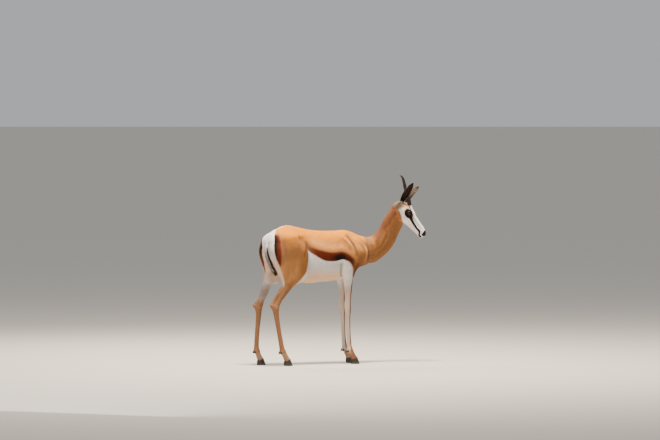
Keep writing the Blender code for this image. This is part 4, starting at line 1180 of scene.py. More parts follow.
        # red-brown border of the white rump, with black next to the white
        heights = (0.570, 0.600, 0.640, 0.680, 0.745)
        red_wide = np.interp(z, heights, (0.012, 0.028, 0.048, 0.056, 0.044)) * np.where(on_left, 0.6, 1.0)
        black_wide = np.interp(z, heights, (0.000, 0.002, 0.008, 0.018, 0.016)) * np.where(on_left, 0.45, 1.0)
        low_end = np.where(on_left, 0.520, 0.555)
        beside = ramp(z, low_end, low_end + 0.05) * (1.0 - ramp(z, 0.742, 0.780)) * self.soft(past, 0.005)
        border = beside * (1.0 - ramp(past, 0.45 * red_wide, 1.02 * red_wide))
        border_black = beside * (1.0 - ramp(past, 0.0, 2.6 * black_wide + 0.001))
        border_halo = beside * (1.0 - ramp(past, 0.9 * red_wide, 1.8 * red_wide))
        # strokes: painted shade in the flank's fold and along creases of muscle, the line down the foreleg,
        # painted highlights on lit edges of muscle, painted shade in the elbow's crease
        flank_fold_shade = self.near(side_view, ((-292, 705), (-305, 680), (-315, 655), (-322, 632)), 0.0045, 0.007)
        flank_fold_shade = flank_fold_shade * ramp(wide, 0.060, 0.080)
        line = self.soft(x - front, 0.005) * between(z, 0.095, 0.13, 0.52, 0.58) * ramp(x, -0.10, -0.05)
        line = line * self.soft(0.035 - np.abs(wide - 0.068), 0.01)
        crease_shade_paths = ((0.010, ((-14, 742), (6, 708), (22, 672), (32, 640))),
                   (0.012, ((96, 724), (112, 690), (118, 655), (118, 612))),
                   (0.011, ((-336, 742), (-307, 718), (-287, 700), (-271, 679))))
        lights = (((-34, 740), (-12, 708), (4, 678), (12, 645)), ((30, 735), (52, 700), (62, 668)),
                  ((106, 712), (101, 684), (97, 650), (93, 622), (94, 604)))
        on_side = ramp(wide, 0.035, 0.055) * (z > 0.58)
        crease_shade = most(*[self.near(side_view, path, width, 0.010) for width, path in crease_shade_paths]) * on_side
        crease_shade = crease_shade * np.where(on_left, 0.5, 1.0)
        painted_edge_highlight = most(*[self.near(side_view, path, 0.006, 0.008) for path in lights]) * on_side
        # the elbow stroke is painted shade in the crease behind the near elbow
        elbow = self.near(side_view, ((-77, 584), (-73, 547), (-58, 510)), 0.0030, 0.010)
        elbow = elbow * ramp(wide, 0.060, 0.075) * (y < 0.0)
        # brown breast, lower shoulder, neck and pasterns, with painted shade on the nape and in the groin;
        # pale ribs over the band and pale hams, a painted highlight over the shoulder blade, painted floor
        # bounce on the low belly
        low = x - 0.5 * (np.maximum(z, 0.54) - 0.60)
        ahead_of_leg = 1.0 - behind_line * below_band
        breast = ramp(low, 0.000, 0.055) * fall(z, 0.560, 0.680) * ramp(z, 0.44, 0.50) * ahead_of_leg
        in_neck = ramp(x - 0.12 * (z - 0.65), 0.105, 0.113)
        chest = ramp(low, 0.005, 0.045) * fall(z, 0.565, 0.630) * (1.0 - in_neck) * ahead_of_leg
        # painted shade along the top of the neck
        nape_shade = in_neck * ramp(0.557 * (z - 0.765) - 0.831 * (x - 0.260), -0.010, 0.034)
        nape_shade = nape_shade * between(x, 0.140, 0.200, 0.305, 0.335)
        lower_hind = fall(z, 0.42, 0.52) * fall(x, -0.32, -0.25)
        ham = fall(z, 0.590, 0.640) * fall(x, -0.38, -0.33) * (1.0 - fall(z, 0.46, 0.53))
        thigh = fall(x, -0.37, -0.31) * fall(z, 0.660, 0.715) * (1.0 - lower_hind)
        # painted shade in the groin between the thighs
        groin = self.soft(0.052 - wide, 0.03) * fall(x, -0.42, -0.37)
        groin = groin * fall(z, 0.530, 0.570) * ramp(z, 0.44, 0.47)
        above = across - half
        ribs = between(above, -0.002, 0.014, 0.020, 0.085) * between(x, -0.31, -0.22, -0.03, 0.05)
        # painted highlight over the shoulder blade
        blade = between(z, 0.655, 0.685, 0.72, 0.75) * between(x, -0.06, -0.01, 0.04, 0.08)
        # painted warm light bounced from the floor onto the low belly
        belly_floor_bounce = fall(z, 0.500, 0.580) * between(x, -0.32, -0.26, -0.07, -0.03)
        top = ramp(z + 0.35 * (0.08 - wide), 0.690, 0.755) * (1.0 - in_neck) * (1.0 - fall(z, 0.66, 0.70))
        return {
            "tawny": np.maximum(top, 0.75 * nape_shade),
            "white": white,
            "pale": most(0.85 * ribs, 0.45 * blade, 0.62 * painted_edge_highlight, 0.60 * belly_floor_bounce, 0.45 * ham,
                         0.30 * foreleg_shade, 0.55 * in_pastern),
            "brown": most(0.85 * breast, 0.36 * in_neck, 0.62 * lower_hind, 0.30 * in_pastern, 0.5 * line,
                          0.85 * nape_shade, 0.80 * band, 0.60 * halo, 0.72 * border_halo, 0.9 * flank_fold_shade, 0.50 * groin,
                          0.34 * thigh * (1.0 - 0.6 * ham), 0.75 * crease_shade, 0.55 * elbow),
            "grey": most(0.36 * lower_hind, 0.42 * foreleg_shade, 0.42 * in_pastern, 0.20 * groin,
                         # painted shade on the white inner gaskins, stronger on the far left one
                         0.12 * inner_hind, 0.30 * fall(z, 0.44, 0.52) * inner_hind * on_left,
                         0.10 * thigh, 0.20 * ham,
                         0.12 * in_neck, 0.08 * belly_floor_bounce, 0.85 * elbow),
            "rust": most(red, 0.95 * border, 0.75 * line, 0.45 * flank_fold_shade, 0.55 * chest, 0.43 * nape_shade,
                         0.26 * crease_shade),
            "black": most(0.90 * black, 0.88 * border_black, 0.25 * line, 0.34 * nape_shade),
        }

    def head(self, points: Array) -> dict[str, Array]:
        """Shares of each colour on the head: white face, fawn crown, dark eye, stripe, nose and lips.

        Args:
            points: Places in body coordinates.

        Returns:
            For each name in SHARES, a share.
        """
        along, left, up = in_head(points).T
        side = np.abs(left)
        profile = np.stack((along, up), axis=1)
        outward = np.stack((along, side, up), axis=1)
        # white face and cheek under a fawn crown
        cheek_edge = 0.021 - 0.30 * np.maximum(along - 0.085, 0.0)
        poll_edge = along - 0.030 - 0.4 * np.maximum(up, 0.0)
        face = self.soft(np.minimum(head_cut(points) - cheek_edge, poll_edge), 0.012)
        crown = self.soft(0.066 - along - 0.15 * np.abs(up - 0.02), 0.014) * ramp(up, -0.008, 0.004)
        cream = np.linalg.norm((outward - (0.062, 0.034, 0.010)) / (0.020, 0.014, 0.014), axis=1)
        cream = 0.75 * self.soft((1.0 - cream) * 0.014, 0.010)
        # dark patch round the eye, the stripe from it to the mouth and the line from it to the horn
        stripe_path = ((112, 0), (135, -6.5), (154, -11.5), (188, -15), (217, -13))
        reach, share = line_distance(profile, np.array(mm(*stripe_path)))
        half = np.interp(share, (0.0, 0.25, 0.6, 1.0), (0.0100, 0.0070, 0.0064, 0.0062))
        stripe = self.soft(half - reach, 0.004)
        # the dark stroke along the lower lip is partly dark skin and partly painted shade
        lip_path = ((217, -13), (226, -21), (232, -29.5), (243, -31), (256, -25.5))
        stripe = np.maximum(stripe, 0.9 * self.near(profile, lip_path, 0.0054, 0.004))
        stripe = stripe * ramp(side, 0.006, 0.010)
        patch = np.hypot((along - 0.0985) / 0.0300, (up - 0.0025 + 0.10 * (along - 0.10)) / 0.0220)
        patch = self.soft((1.0 - patch) * 0.022, 0.005) * ramp(side, 0.024, 0.031)
        brow = self.near(outward[:, :2], ((92, 38), (80, 34), (68, 29), (56, 23)), 0.0038, 0.006)
        brow = 0.8 * brow * ramp(up, 0.006, 0.014)
        temple = 0.35 * self.near(outward, ((36, 34, 2), (50, 37, -4)), 0.0050, 0.008)
        # nose pad, lips, chin, grey at the ear and along the bridge of the nose
        nose = self.soft(along - 0.2345 + 0.30 * (up + 0.006), 0.006) * self.soft(up + 0.0165, 0.006)
        lips = self.soft(0.0020 - np.abs(up + 0.0235 + 0.08 * (0.245 - along)), 0.003)
        lips = lips * ramp(along, 0.225, 0.240)
        chin = 0.25 * self.soft(-0.032 - up, 0.006) * ramp(along, 0.220, 0.235)
        ear_root = self.soft(0.034 - np.linalg.norm(outward - (0.016, 0.036, -0.008), axis=1), 0.014)
        bridge = self.soft(0.0060 - np.abs(up - 0.0060 - 0.02 * (0.17 - along)), 0.006)
        bridge = bridge * between(along, 0.120, 0.140, 0.215, 0.232) * ramp(side, 0.006, 0.012)
        return {
            "tawny": 0.5 * crown,
            "white": np.maximum(face * (1.0 - crown), 0.50 * crown * ramp(side, 0.010, 0.022)),
            "pale": np.maximum(0.72 * crown * ramp(side, 0.006, 0.020), cream),
            "brown": most(0.50 * (1.0 - face) * (1.0 - 0.5 * crown),
                          0.45 * crown * (1.0 - ramp(side, 0.010, 0.022)), brow),
            "grey": np.maximum(0.95 * ear_root, 0.55 * bridge),
            "rust": most(stripe, patch, 0.6 * brow, temple),
            "black": most(nose, 0.85 * lips, chin, 0.95 * stripe, patch, 0.68 * brow),
        }

    def bare(self, points: Array) -> Array:
        """Share of bare skin: the nose pad and the rims of lids and lips.

        Args:
            points: Places in body coordinates.

        Returns:
            A share from 0 to 1.
        """
        along, left, up = in_head(points).T
        nose = self.soft(along - 0.2400 + 0.35 * (up + 0.006), 0.004) * self.soft(up + 0.0165, 0.004)
        lids = self.soft(0.0122 - eye_distance(points, (1.45, 1.0, 1.05)), 0.002)
        return np.maximum(nose, lids * ramp(np.abs(left), 0.034, 0.038))

    def read(self, points: Array) -> dict[str, Array]:
        """How much of each colour each place has.

        Args:
            points: Places in body coordinates.

        Returns:
            For each name in SHARES and for bare skin, a share from 0 to 1.
        """
        on_head = ramp(head_cut(points), -0.004, 0.006)
        body, head = self.body(points), self.head(points)
        shares = {key: np.clip(body[key] * (1.0 - on_head) + head[key] * on_head, 0.0, 1.0) for key in SHARES}
        shares["bare"] = on_head * self.bare(points)
        return shares


@dataclass(frozen=True)
class CoatHair:
    """Short springbok hair: 10 to 20 mm long, dense and flat, with a soft sheen and no gloss."""

    colours: CoatColours = CoatColours()
    streak_mm: float = 2.4
    cloud_mm: float = 1000.0 / 14.0

    def material(self, name: str, bump: float = 0.35) -> bpy.types.Material:
        """The coat's material: fawn, then each marking over it, with hair breaking the crisp edges.

        Args:
            name: The material's name.
            bump: Strength of the bump of the hair.

        Returns:
            The material.
        """
        material, tree, shader = new_material(name, IOR=1.45, Specular_IOR_Level=0.22, Sheen_Weight=0.04,
                                              Sheen_Roughness=0.45)
        place = add_node(tree, "TexCoord").outputs["Object"]
        hair = add_node(tree, "TexNoise", {"Vector": place, "Scale": 500.0 / self.streak_mm, "Detail": 3.0,
                                           "Roughness": 0.6}).outputs["Fac"]
        cloud = add_node(tree, "TexNoise", {"Vector": place, "Scale": 1000.0 / self.cloud_mm,
                                            "Detail": 2.0}).outputs["Fac"]
        tone = add_node(tree, "Attribute", attribute_name="tone").outputs["Fac"]
        bare = add_node(tree, "Attribute", attribute_name="bare").outputs["Fac"]
        fawn, fawn_deep = linear(self.colours.fawn), linear(self.colours.fawn_deep)
        colour = add_node(tree, "Mix", {"Factor": cloud, "A": fawn, "B": fawn_deep},
                          data_type="RGBA").outputs["Result"]
        for key in SHARES:
            share = add_node(tree, "Attribute", attribute_name=key).outputs["Fac"]
            if key in BROKEN_BY_HAIR:
                broken = add_node(tree, "Math", {0: hair, 1: 0.30, 2: share},
                                  operation="MULTIPLY_ADD").outputs[0]
                share = add_node(tree, "MapRange", {"Value": broken, "From Min": 0.38,
                                                    "From Max": 0.92}).outputs["Result"]
            over = linear(getattr(self.colours, key))
            colour = add_node(tree, "Mix", {"Factor": share, "A": colour, "B": over},
                              data_type="RGBA").outputs["Result"]
        bright = add_node(tree, "Math", {0: hair, 1: 0.26, 2: 0.87}, operation="MULTIPLY_ADD").outputs[0]
        bright = add_node(tree, "Math", {0: tone, 1: 0.26, 2: bright}, operation="MULTIPLY_ADD").outputs[0]
        shaded = add_node(tree, "VectorMath", {0: colour, "Scale": bright},
                          operation="SCALE").outputs["Vector"]
        tree.links.new(shaded, shader.inputs["Base Color"])
        rough = add_node(tree, "MapRange", {"Value": bare, "To Min": 0.72, "To Max": 0.34}).outputs["Result"]
        tree.links.new(rough, shader.inputs["Roughness"])
        relief = add_node(tree, "Bump", {"Height": hair, "Strength": bump, "Distance": 0.0010})
        tree.links.new(relief.outputs["Normal"], shader.inputs["Normal"])
        return material


# ---------------------------------------------------------------- hide
@dataclass
class Hide:
    """The skin of trunk, neck, head and legs as one closed mesh."""

    anatomy: Anatomy
    markings: Markings
    coarse: float = 0.0050
    fine: float = 0.0024
    legs: float = 0.0064
    round_eyes: float = 0.026

    def lines(self) -> tuple[Array, Array, Array]:
        """The grid: finer where only the head and upper neck lie.

        Returns:
            Its places along X, Y and Z.
        """
        xs = ((-0.600, 0.270, self.coarse), (0.270, 0.480, self.fine))
        ys = ((-0.175, 0.030, self.fine * 1.15), (0.0305, 0.140, self.coarse))
        zs = ((0.018, 0.460, self.legs), (0.4605, 0.725, self.coarse * 1.1), (0.7275, 0.980, self.fine))
        return tuple(np.concatenate([np.arange(*span) for span in spans]) for spans in (xs, ys, zs))

    def depth(self, points: Array) -> Array:
        """How far the skin lies under the solids' surface: the coat's depth, less on head and legs."""
        thin = np.maximum(ramp(head_cut(points), -0.03, 0.02), fall(points[:, 2], 0.36, 0.46))
        return COAT_DEPTH * (1.0 - 0.62 * thin)

    def refine(self, thing: bpy.types.Object) -> None:
        """Split the faces round the eyes and the muzzle in four, so that lids, lips and nostrils are sharp.

        Args:
            thing: The hide.
        """
        bm = bmesh.new()
        bm.from_mesh(thing.data)
        bm.verts.ensure_lookup_table()
        points = np.array([vert.co[:] for vert in bm.verts]) - SHIFT
        along, left, up = in_head(points).T
        muzzle = (along > 0.196) & (along < 0.30) & (np.abs(left) < 0.04) & (np.abs(up) < 0.06)
        near = (eye_distance(points) < self.round_eyes) | muzzle
        edges = [edge for edge in bm.edges if near[edge.verts[0].index] and near[edge.verts[1].index]]
        bmesh.ops.subdivide_edges(bm, edges=edges, cuts=1, use_grid_fill=True)
        bmesh.ops.triangulate(bm, faces=[face for face in bm.faces if len(face.verts) > 4])
        bm.to_mesh(thing.data)
        bm.free()

    def build(self) -> tuple[bpy.types.Object, Flesh]:
        """The hide's mesh, settled a coat's depth inside the solids, with its markings as attributes.

        Returns:
            The hide and the flesh that it lies on.
        """
        flesh = self.anatomy.flesh()
        lines = self.lines()
        points, quads = surface_net(flesh.on_grid(*lines), lines)
        thing = mesh_object("hide", points, quads)
        self.refine(thing)
        mesh = thing.data
        places = read_vectors(mesh.vertices, "co") - SHIFT
        places = flesh.settle(places, -self.depth(places), rounds=2)
        mesh.vertices.foreach_set("co", (places + SHIFT).astype(np.float32).ravel())
        set_attributes(mesh, self.markings.read(places))
        mesh.polygons.foreach_set("use_smooth", np.ones(len(mesh.polygons), bool))
        mesh.update()
        return thing, flesh


# ---------------------------------------------------------------- coat
LOCK_ARRAYS = ("root", "normal", "flow", "length", "width", "lift", "region")


class Region(IntEnum):
    """Parts of the body that are pieces of coat of their own; a leg's left is one more than its right."""

    RIGHT = 0
    LEFT = 1
    NECK = 2
    HEAD = 3
    FORELEG = 4
    HINDLEG = 6
    TAIL = 8


@dataclass
class Lock:
    """Many flat tufts: each has a root on the skin, the skin's normal, a way to run and its size."""

    root: Array
    normal: Array
    flow: Array
    length: Array
    width: Array
    lift: Array
    region: Array
    shares: dict[str, Array]

    def pick(self, chosen: Array) -> "Lock":
        """The tufts chosen by a mask or by numbers."""
        shares = {key: values[chosen] for key, values in self.shares.items()}
        return Lock(*(getattr(self, name)[chosen] for name in LOCK_ARRAYS), shares)

    def join(self, other: "Lock") -> "Lock":
        """These tufts and others in one set."""
        shares = {key: np.concatenate((values, other.shares[key])) for key, values in self.shares.items()}
        joined = (np.concatenate((getattr(self, name), getattr(other, name))) for name in LOCK_ARRAYS)
        return Lock(*joined, shares)


@dataclass
class Coat:
    """Tufts of short hair over the hide: where they grow, which way they run and how long they are."""

    flesh: Flesh
    hide: Hide
    markings: Markings
    rng: np.random.Generator
    cover: float = 1.9
    patch: float = 0.003

    def zones(self, points: Array) -> dict[str, Array]:
        """How much each place belongs to head, muzzle, neck, lower leg, foot, thigh, rear and shoulder.

        Args:
            points: Places in body coordinates.

        Returns:
            For each zone's name, a share.
        """
        x, _, z = points.T
        head = ramp(head_cut(points), -0.015, 0.020)
        return {"head": head, "muzzle": head * ramp(in_head(points)[:, 0], 0.12, 0.21),
                "neck": ramp(x, 0.08, 0.18) * (1.0 - head),
                "leg": fall(z, 0.44, 0.56), "foot": fall(z, 0.06, 0.12),
                "thigh": fall(x, -0.38, -0.28) * fall(z, 0.62, 0.76), "rear": fall(x, -0.47, -0.42),
                "shoulder": ramp(x, -0.06, 0.06) * fall(z, 0.66, 0.76)}

    def sizes(self, points: Array) -> tuple[Array, Array, Array]:
        """How large the tufts are, from 4 mm on the muzzle to 19 mm at the rear.

        Args:
            points: Places in body coordinates.

        Returns:
            Length, width and lift at each place.
        """
        zone = self.zones(points)
        length = 0.0145 + 0.0045 * zone["rear"] * (1.0 - zone["leg"])
        length = length - 0.0065 * zone["leg"] - 0.0020 * zone["foot"]
        length = length * (1.0 - zone["head"]) + 0.0072 * zone["head"] - 0.0030 * zone["muzzle"]
        length = length * (1.0 - 0.55 * (1.0 - ramp(eye_distance(points, (1.3, 1.0, 1.0)), 0.014, 0.024)))
        width = 0.085 * length + 0.0005
        lift = 0.82 * self.hide.depth(points) * np.clip(length / 0.010, 0.35, 1.0)
        return length, width, lift

    def flow(self, points: Array) -> Array:
        """Which way the hair runs: back along the trunk, down the limbs, up the face and down the neck.

        Args:
            points: Places in body coordinates.

        Returns:
            A direction for each place.
        """
        zone = self.zones(points)
        along, left, up = in_head(points).T
        way = np.tile(np.array((-1.0, 0.0, -0.28)), (len(points), 1))
        targets = (("shoulder", (-0.72, 0.0, -0.70)), ("thigh", (-0.50, 0.0, -0.86)),
                   ("rear", (-0.22, 0.0, -0.97)), ("neck", (-0.52, 0.17, -0.84)), ("leg", (-0.10, 0.0, -1.0)))
        for name, target in targets:
            share = zone[name][:, None]
            way = way * (1.0 - share) + np.array(target) * share
        face = -FACE_AXIS - 0.35 * fall(up, -0.040, -0.010)[:, None] * FACE_UP
        behind = fall(along, 0.0, 0.035)[:, None]
        face = face * (1.0 - behind) + np.array((-0.60, 0.20, -0.70)) * behind
        from_eye = np.stack((along, np.abs(left), up), axis=1) - EYE_CENTRE
        near_eye = (1.0 - ramp(np.linalg.norm(from_eye, axis=1), 0.015, 0.026))[:, None]
        ones = np.ones_like(left)
        radial = (from_eye * np.stack((ones, np.sign(left), ones), axis=1)) @ HEAD_AXES
        face = face * (1.0 - 0.8 * near_eye) + unit(radial) * 0.8 * near_eye
        share = zone["head"][:, None]
        return way * (1.0 - share) + face * share

    def sample(self, mesh: bpy.types.Mesh) -> tuple[Array, Array]:
        """Places spread over the hide, closer together where the tufts are smaller.

        Args:
            mesh: The hide's mesh.

        Returns:
            The places and the skin's normals there.
        """
        mesh.calc_loop_triangles()
        corners = np.empty(3 * len(mesh.loop_triangles), np.int32)
        mesh.loop_triangles.foreach_get("vertices", corners)
        corners = corners.reshape(-1, 3)
        places = read_vectors(mesh.vertices, "co") - SHIFT
        normals = read_vectors(mesh.vertices, "normal")
        tri = places[corners]
        area = 0.5 * np.linalg.norm(np.cross(tri[:, 1] - tri[:, 0], tri[:, 2] - tri[:, 0]), axis=1)
        length, width, _ = self.sizes(tri.mean(axis=1))
        running = np.cumsum(area * self.cover / (0.5 * length * width))
        spots = np.arange(0.5, running[-1]) + self.rng.uniform(-0.45, 0.45, int(running[-1] + 0.5))
        chosen = np.clip(np.searchsorted(running, spots), 0, len(area) - 1)
        a, b = self.rng.random((2, len(chosen), 1))
        over = (a + b) > 1.0
        a, b = np.where(over, 1.0 - a, a), np.where(over, 1.0 - b, b)
        weights = np.concatenate((1.0 - a - b, a, b), axis=1)[:, :, None]
        return (tri[chosen] * weights).sum(axis=1), unit((normals[corners[chosen]] * weights).sum(axis=1))

    def grow(self, mesh: bpy.types.Mesh) -> Lock:
        """Tufts all over the hide, left off the bare skin, the eyeballs and the hooves.

        Args:
            mesh: The hide's mesh.

        Returns:
            The tufts.
        """
        root, normal = self.sample(mesh)
        off_eye = eye_distance(root, (1.45, 1.0, 1.05)) > 0.0118
        keep = (self.markings.read(root)["bare"] < 0.5) & off_eye & (root[:, 2] > CORONET - 0.004)
        root, normal = root[keep], normal[keep]
        length, width, lift = self.sizes(root)
        length = length * self.rng.uniform(0.75, 1.2, len(root))
        lift = lift * (1.0 - 0.55 * ramp(normal[:, 2], 0.20, 0.70))
        way = self.flow(root)
        way = unit(way - normal * (way * normal).sum(axis=1, keepdims=True))
        turn = self.rng.normal(0.0, 0.14, (len(root), 1))
        way = way * np.cos(turn) + np.cross(normal, way) * np.sin(turn)
        x, y, z = root.T
        zone = self.zones(root)
        leg = np.where(x > -0.2, Region.FORELEG, Region.HINDLEG) + (y > 0.0)
        region = np.where(zone["head"] > 0.5, Region.HEAD, np.where(z < 0.50, leg, np.where(
            x > 0.12, Region.NECK, np.where(y > 0.0, Region.LEFT, Region.RIGHT))))
        return Lock(root, normal, way, length, width, lift, region, self.markings.read(root))

    def chart(self, tufts: Lock) -> Array:
        """Each root's place on a flat unwrap: six views of each region along its axes, in a square.

        Args:
            tufts: The tufts of one piece.

        Returns:
            A UV place for each tuft.
        """
        head = tufts.region == Region.HEAD
        root = np.where(head[:, None], in_head(tufts.root), tufts.root)
        normal = np.where(head[:, None], tufts.normal @ HEAD_AXES.T, tufts.normal)
        axis = np.abs(normal).argmax(axis=1)
        facing = np.take_along_axis(normal, axis[:, None], axis=1)[:, 0] > 0.0
        key = tufts.region * 6 + axis * 2 + facing
        flat = np.stack([root[np.arange(len(root)), (axis + step) % 3] for step in (1, 2)], axis=1)
        charts = []
        for name in np.unique(key):
            inside = key == name
            low, high = flat[inside].min(axis=0), flat[inside].max(axis=0)
            if (high - low)[1] > (high - low)[0]:
                flat[inside] = flat[inside][:, ::-1]
                low, high = low[::-1], high[::-1]
            charts.append((inside, low, high - low + 0.006))
        charts.sort(key=lambda chart: -chart[2][1])
        scale = 2.5
        while True:
            x = y = shelf = 0.0
            spots = []
            for _, _, size in charts:
                wide, tall = size * scale
                if x + wide > 0.99:
                    x, y, shelf = 0.0, y + shelf, 0.0
                spots.append((x, y))
                x, shelf = x + wide, max(shelf, tall)
            if y + shelf < 0.99 and max(size[0] for _, _, size in charts) * scale < 0.99:
                break
            scale *= 0.97
        uv = np.zeros((len(root), 2))
        for (inside, low, _), spot in zip(charts, spots):
            uv[inside] = (flat[inside] - low + 0.002) * scale + np.array(spot) + 0.003
        return uv

    def slivers(self, name: str, tufts: Lock, points: Array, faces: Array, steps: Array) -> bpy.types.Object:
        """One mesh of many closed slivers, each with its tuft's markings and its own tone.

        Args:
            name: The piece's name.
            tufts: The tufts.
            points: The corners of each sliver.
            faces: The triangles of one sliver.
            steps: Where each corner lies in the sliver's patch of the UV map, from 0 to 1.

        Returns:
            The piece.
        """
        count, corners = points.shape[:2]
        every = (np.arange(count)[:, None, None] * corners + faces[None]).reshape(-1, 3)
        uv = (self.chart(tufts)[:, None, :] + (steps * self.patch)[None])[:, faces, :].reshape(-1, 2)
        tone = self.rng.uniform(-0.5, 0.5, count)
        looks = tufts.shares | {"tone": tone}
        attributes = {key: np.repeat(values, corners) for key, values in looks.items()}
        return mesh_object(name, points.reshape(-1, 3), every, attributes, uv)

    def mesh(self, name: str, tufts: Lock, material: bpy.types.Material, slot: str) -> bpy.types.Object:
        """One piece of coat: each tuft a sliver, its root in the skin, its ridge raised, its tip lying low.

        Args:
            name: The piece's name.
            tufts: The tufts.
            material: The coat's material.
            slot: Not used.

        Returns:
            The piece.
        """
        side = np.cross(tufts.normal, tufts.flow)
        half = 0.5 * tufts.width[:, None] * side
        sunk = tufts.root - 0.0005 * tufts.normal
        lift = tufts.lift[:, None] * tufts.normal
        tip = tufts.root + tufts.length[:, None] * tufts.flow
        over = self.flesh.at(tip) + self.hide.depth(tip)
        tip = tip - tufts.normal * np.clip(over - 0.45 * tufts.lift, -0.008, 0.008)[:, None]
        ridge = tufts.root + 0.42 * (tip - tufts.root) + 0.85 * lift
        points = np.stack((sunk + half, sunk - half, ridge, tip), axis=1)
        faces = np.array(((0, 1, 2), (0, 2, 3), (1, 3, 2), (0, 3, 1)))
        steps = np.array(((0.0, 0.0), (1.0, 0.0), (0.5, 0.45), (0.5, 1.0)))
        thing = self.slivers(name, tufts, points, faces, steps)
        lean = self.rng.normal(0.0, 0.16, (len(side), 1)) * side
        soft = unit(tufts.normal + lean)
        thing.data.normals_split_custom_set_from_vertices(np.repeat(soft, 4, axis=0).tolist())
        return register(thing, material, slot)

    def build(self, hide: bpy.types.Object, material: bpy.types.Material) -> None:
        """Tufts over the whole hide, in pieces by region.

        Args:
            hide: The skin the tufts stand on.
            material: The coat's material.
        """
        tufts = self.grow(hide.data)
        pieces = (("right", (Region.RIGHT,), "tan"), ("left", (Region.LEFT,), "tan"),
                  ("neck", (Region.NECK,), "neck"), ("head", (Region.HEAD,), "white"),
                  ("forelegs", (Region.FORELEG, Region.FORELEG + 1), "white"),
                  ("hindleg_right", (Region.HINDLEG,), "tan"), ("hindleg_left", (Region.HINDLEG + 1,), "tan"))
        for name, regions, slot in pieces:
            self.mesh("coat_" + name, tufts.pick(np.isin(tufts.region, regions)), material, slot + "_coat")


# ---------------------------------------------------------------- eyes
@dataclass
class Eye:
    """A large dark eye: an oval ball with a brown iris, a level slot of a pupil and a wet cornea."""

    side: Side
    rings: int = 48
    sides: int = 64
    share: float = 0.995

    def material(self) -> bpy.types.Material:
        """Wet cornea over a dark brown iris; the eye sees one sharp highlight on near black.

        Returns:
            The material, made once for both eyes.
        """
        existing = bpy.data.materials.get("wet_eye")
        if existing:
            return existing
        material, tree, shader = new_material("wet_eye", Roughness=0.04, IOR=1.376)
        ahead = add_node(tree, "Attribute", attribute_name="ahead").outputs["Fac"]
        rise = add_node(tree, "Attribute", attribute_name="rise").outputs["Fac"]
        flat = add_node(tree, "CombineXYZ", {"X": ahead, "Y": rise})
        slot = add_node(tree, "VectorMath", {0: flat.outputs[0], 1: (0.42, 1.0, 1.0)}, operation="MULTIPLY")
        pupil = add_node(tree, "VectorMath", {0: slot.outputs[0]}, operation="LENGTH").outputs["Value"]
        pupil = add_node(tree, "MapRange", {"Value": pupil, "From Min": 0.0017,
                                            "From Max": 0.0022}).outputs["Result"]
        disc = add_node(tree, "VectorMath", {0: flat.outputs[0]}, operation="LENGTH").outputs["Value"]
        limbus = add_node(tree, "MapRange", {"Value": disc, "From Min": 0.0085,
                                             "From Max": 0.0112}).outputs["Result"]
        rays = add_node(tree, "TexNoise", {"Vector": slot.outputs[0], "Scale": 900.0,
                                           "Detail": 3.0}).outputs["Fac"]
        iris = add_node(tree, "Mix", {"Factor": rays, "A": linear("#160b07"), "B": linear("#2a170d")},
                        data_type="RGBA").outputs["Result"]
        inner = add_node(tree, "Mix", {"Factor": pupil, "A": linear("#05060a"), "B": iris},
                         data_type="RGBA").outputs["Result"]
        outer = add_node(tree, "Mix", {"Factor": limbus, "A": inner, "B": linear("#0c0605")},
                         data_type="RGBA")
        tree.links.new(outer.outputs["Result"], shader.inputs["Base Color"])
        return material

    def build(self) -> bpy.types.Object:
        """An ellipsoid with its pole outward: centre + radii * (sin t cos a, cos t, sin t sin a).

        Returns:
            The eyeball.
        """
        ball = round_ball(self.rings, self.sides)[:, [0, 2, 1]]
        local = EYE_CENTRE + ball * EYE_RADII * self.share
        offset = local - EYE_CENTRE
        points = POLL + (local * (1.0, self.side.value, 1.0)) @ HEAD_AXES
        faces = face_outward(points, capped_rings(self.rings, self.sides))
        thing = mesh_object("eyeball_" + self.side.word, points, faces,
                            {"ahead": offset[:, 0], "rise": offset[:, 2]})
        return register(thing, self.material(), "eye", "eye_" + self.side.word)


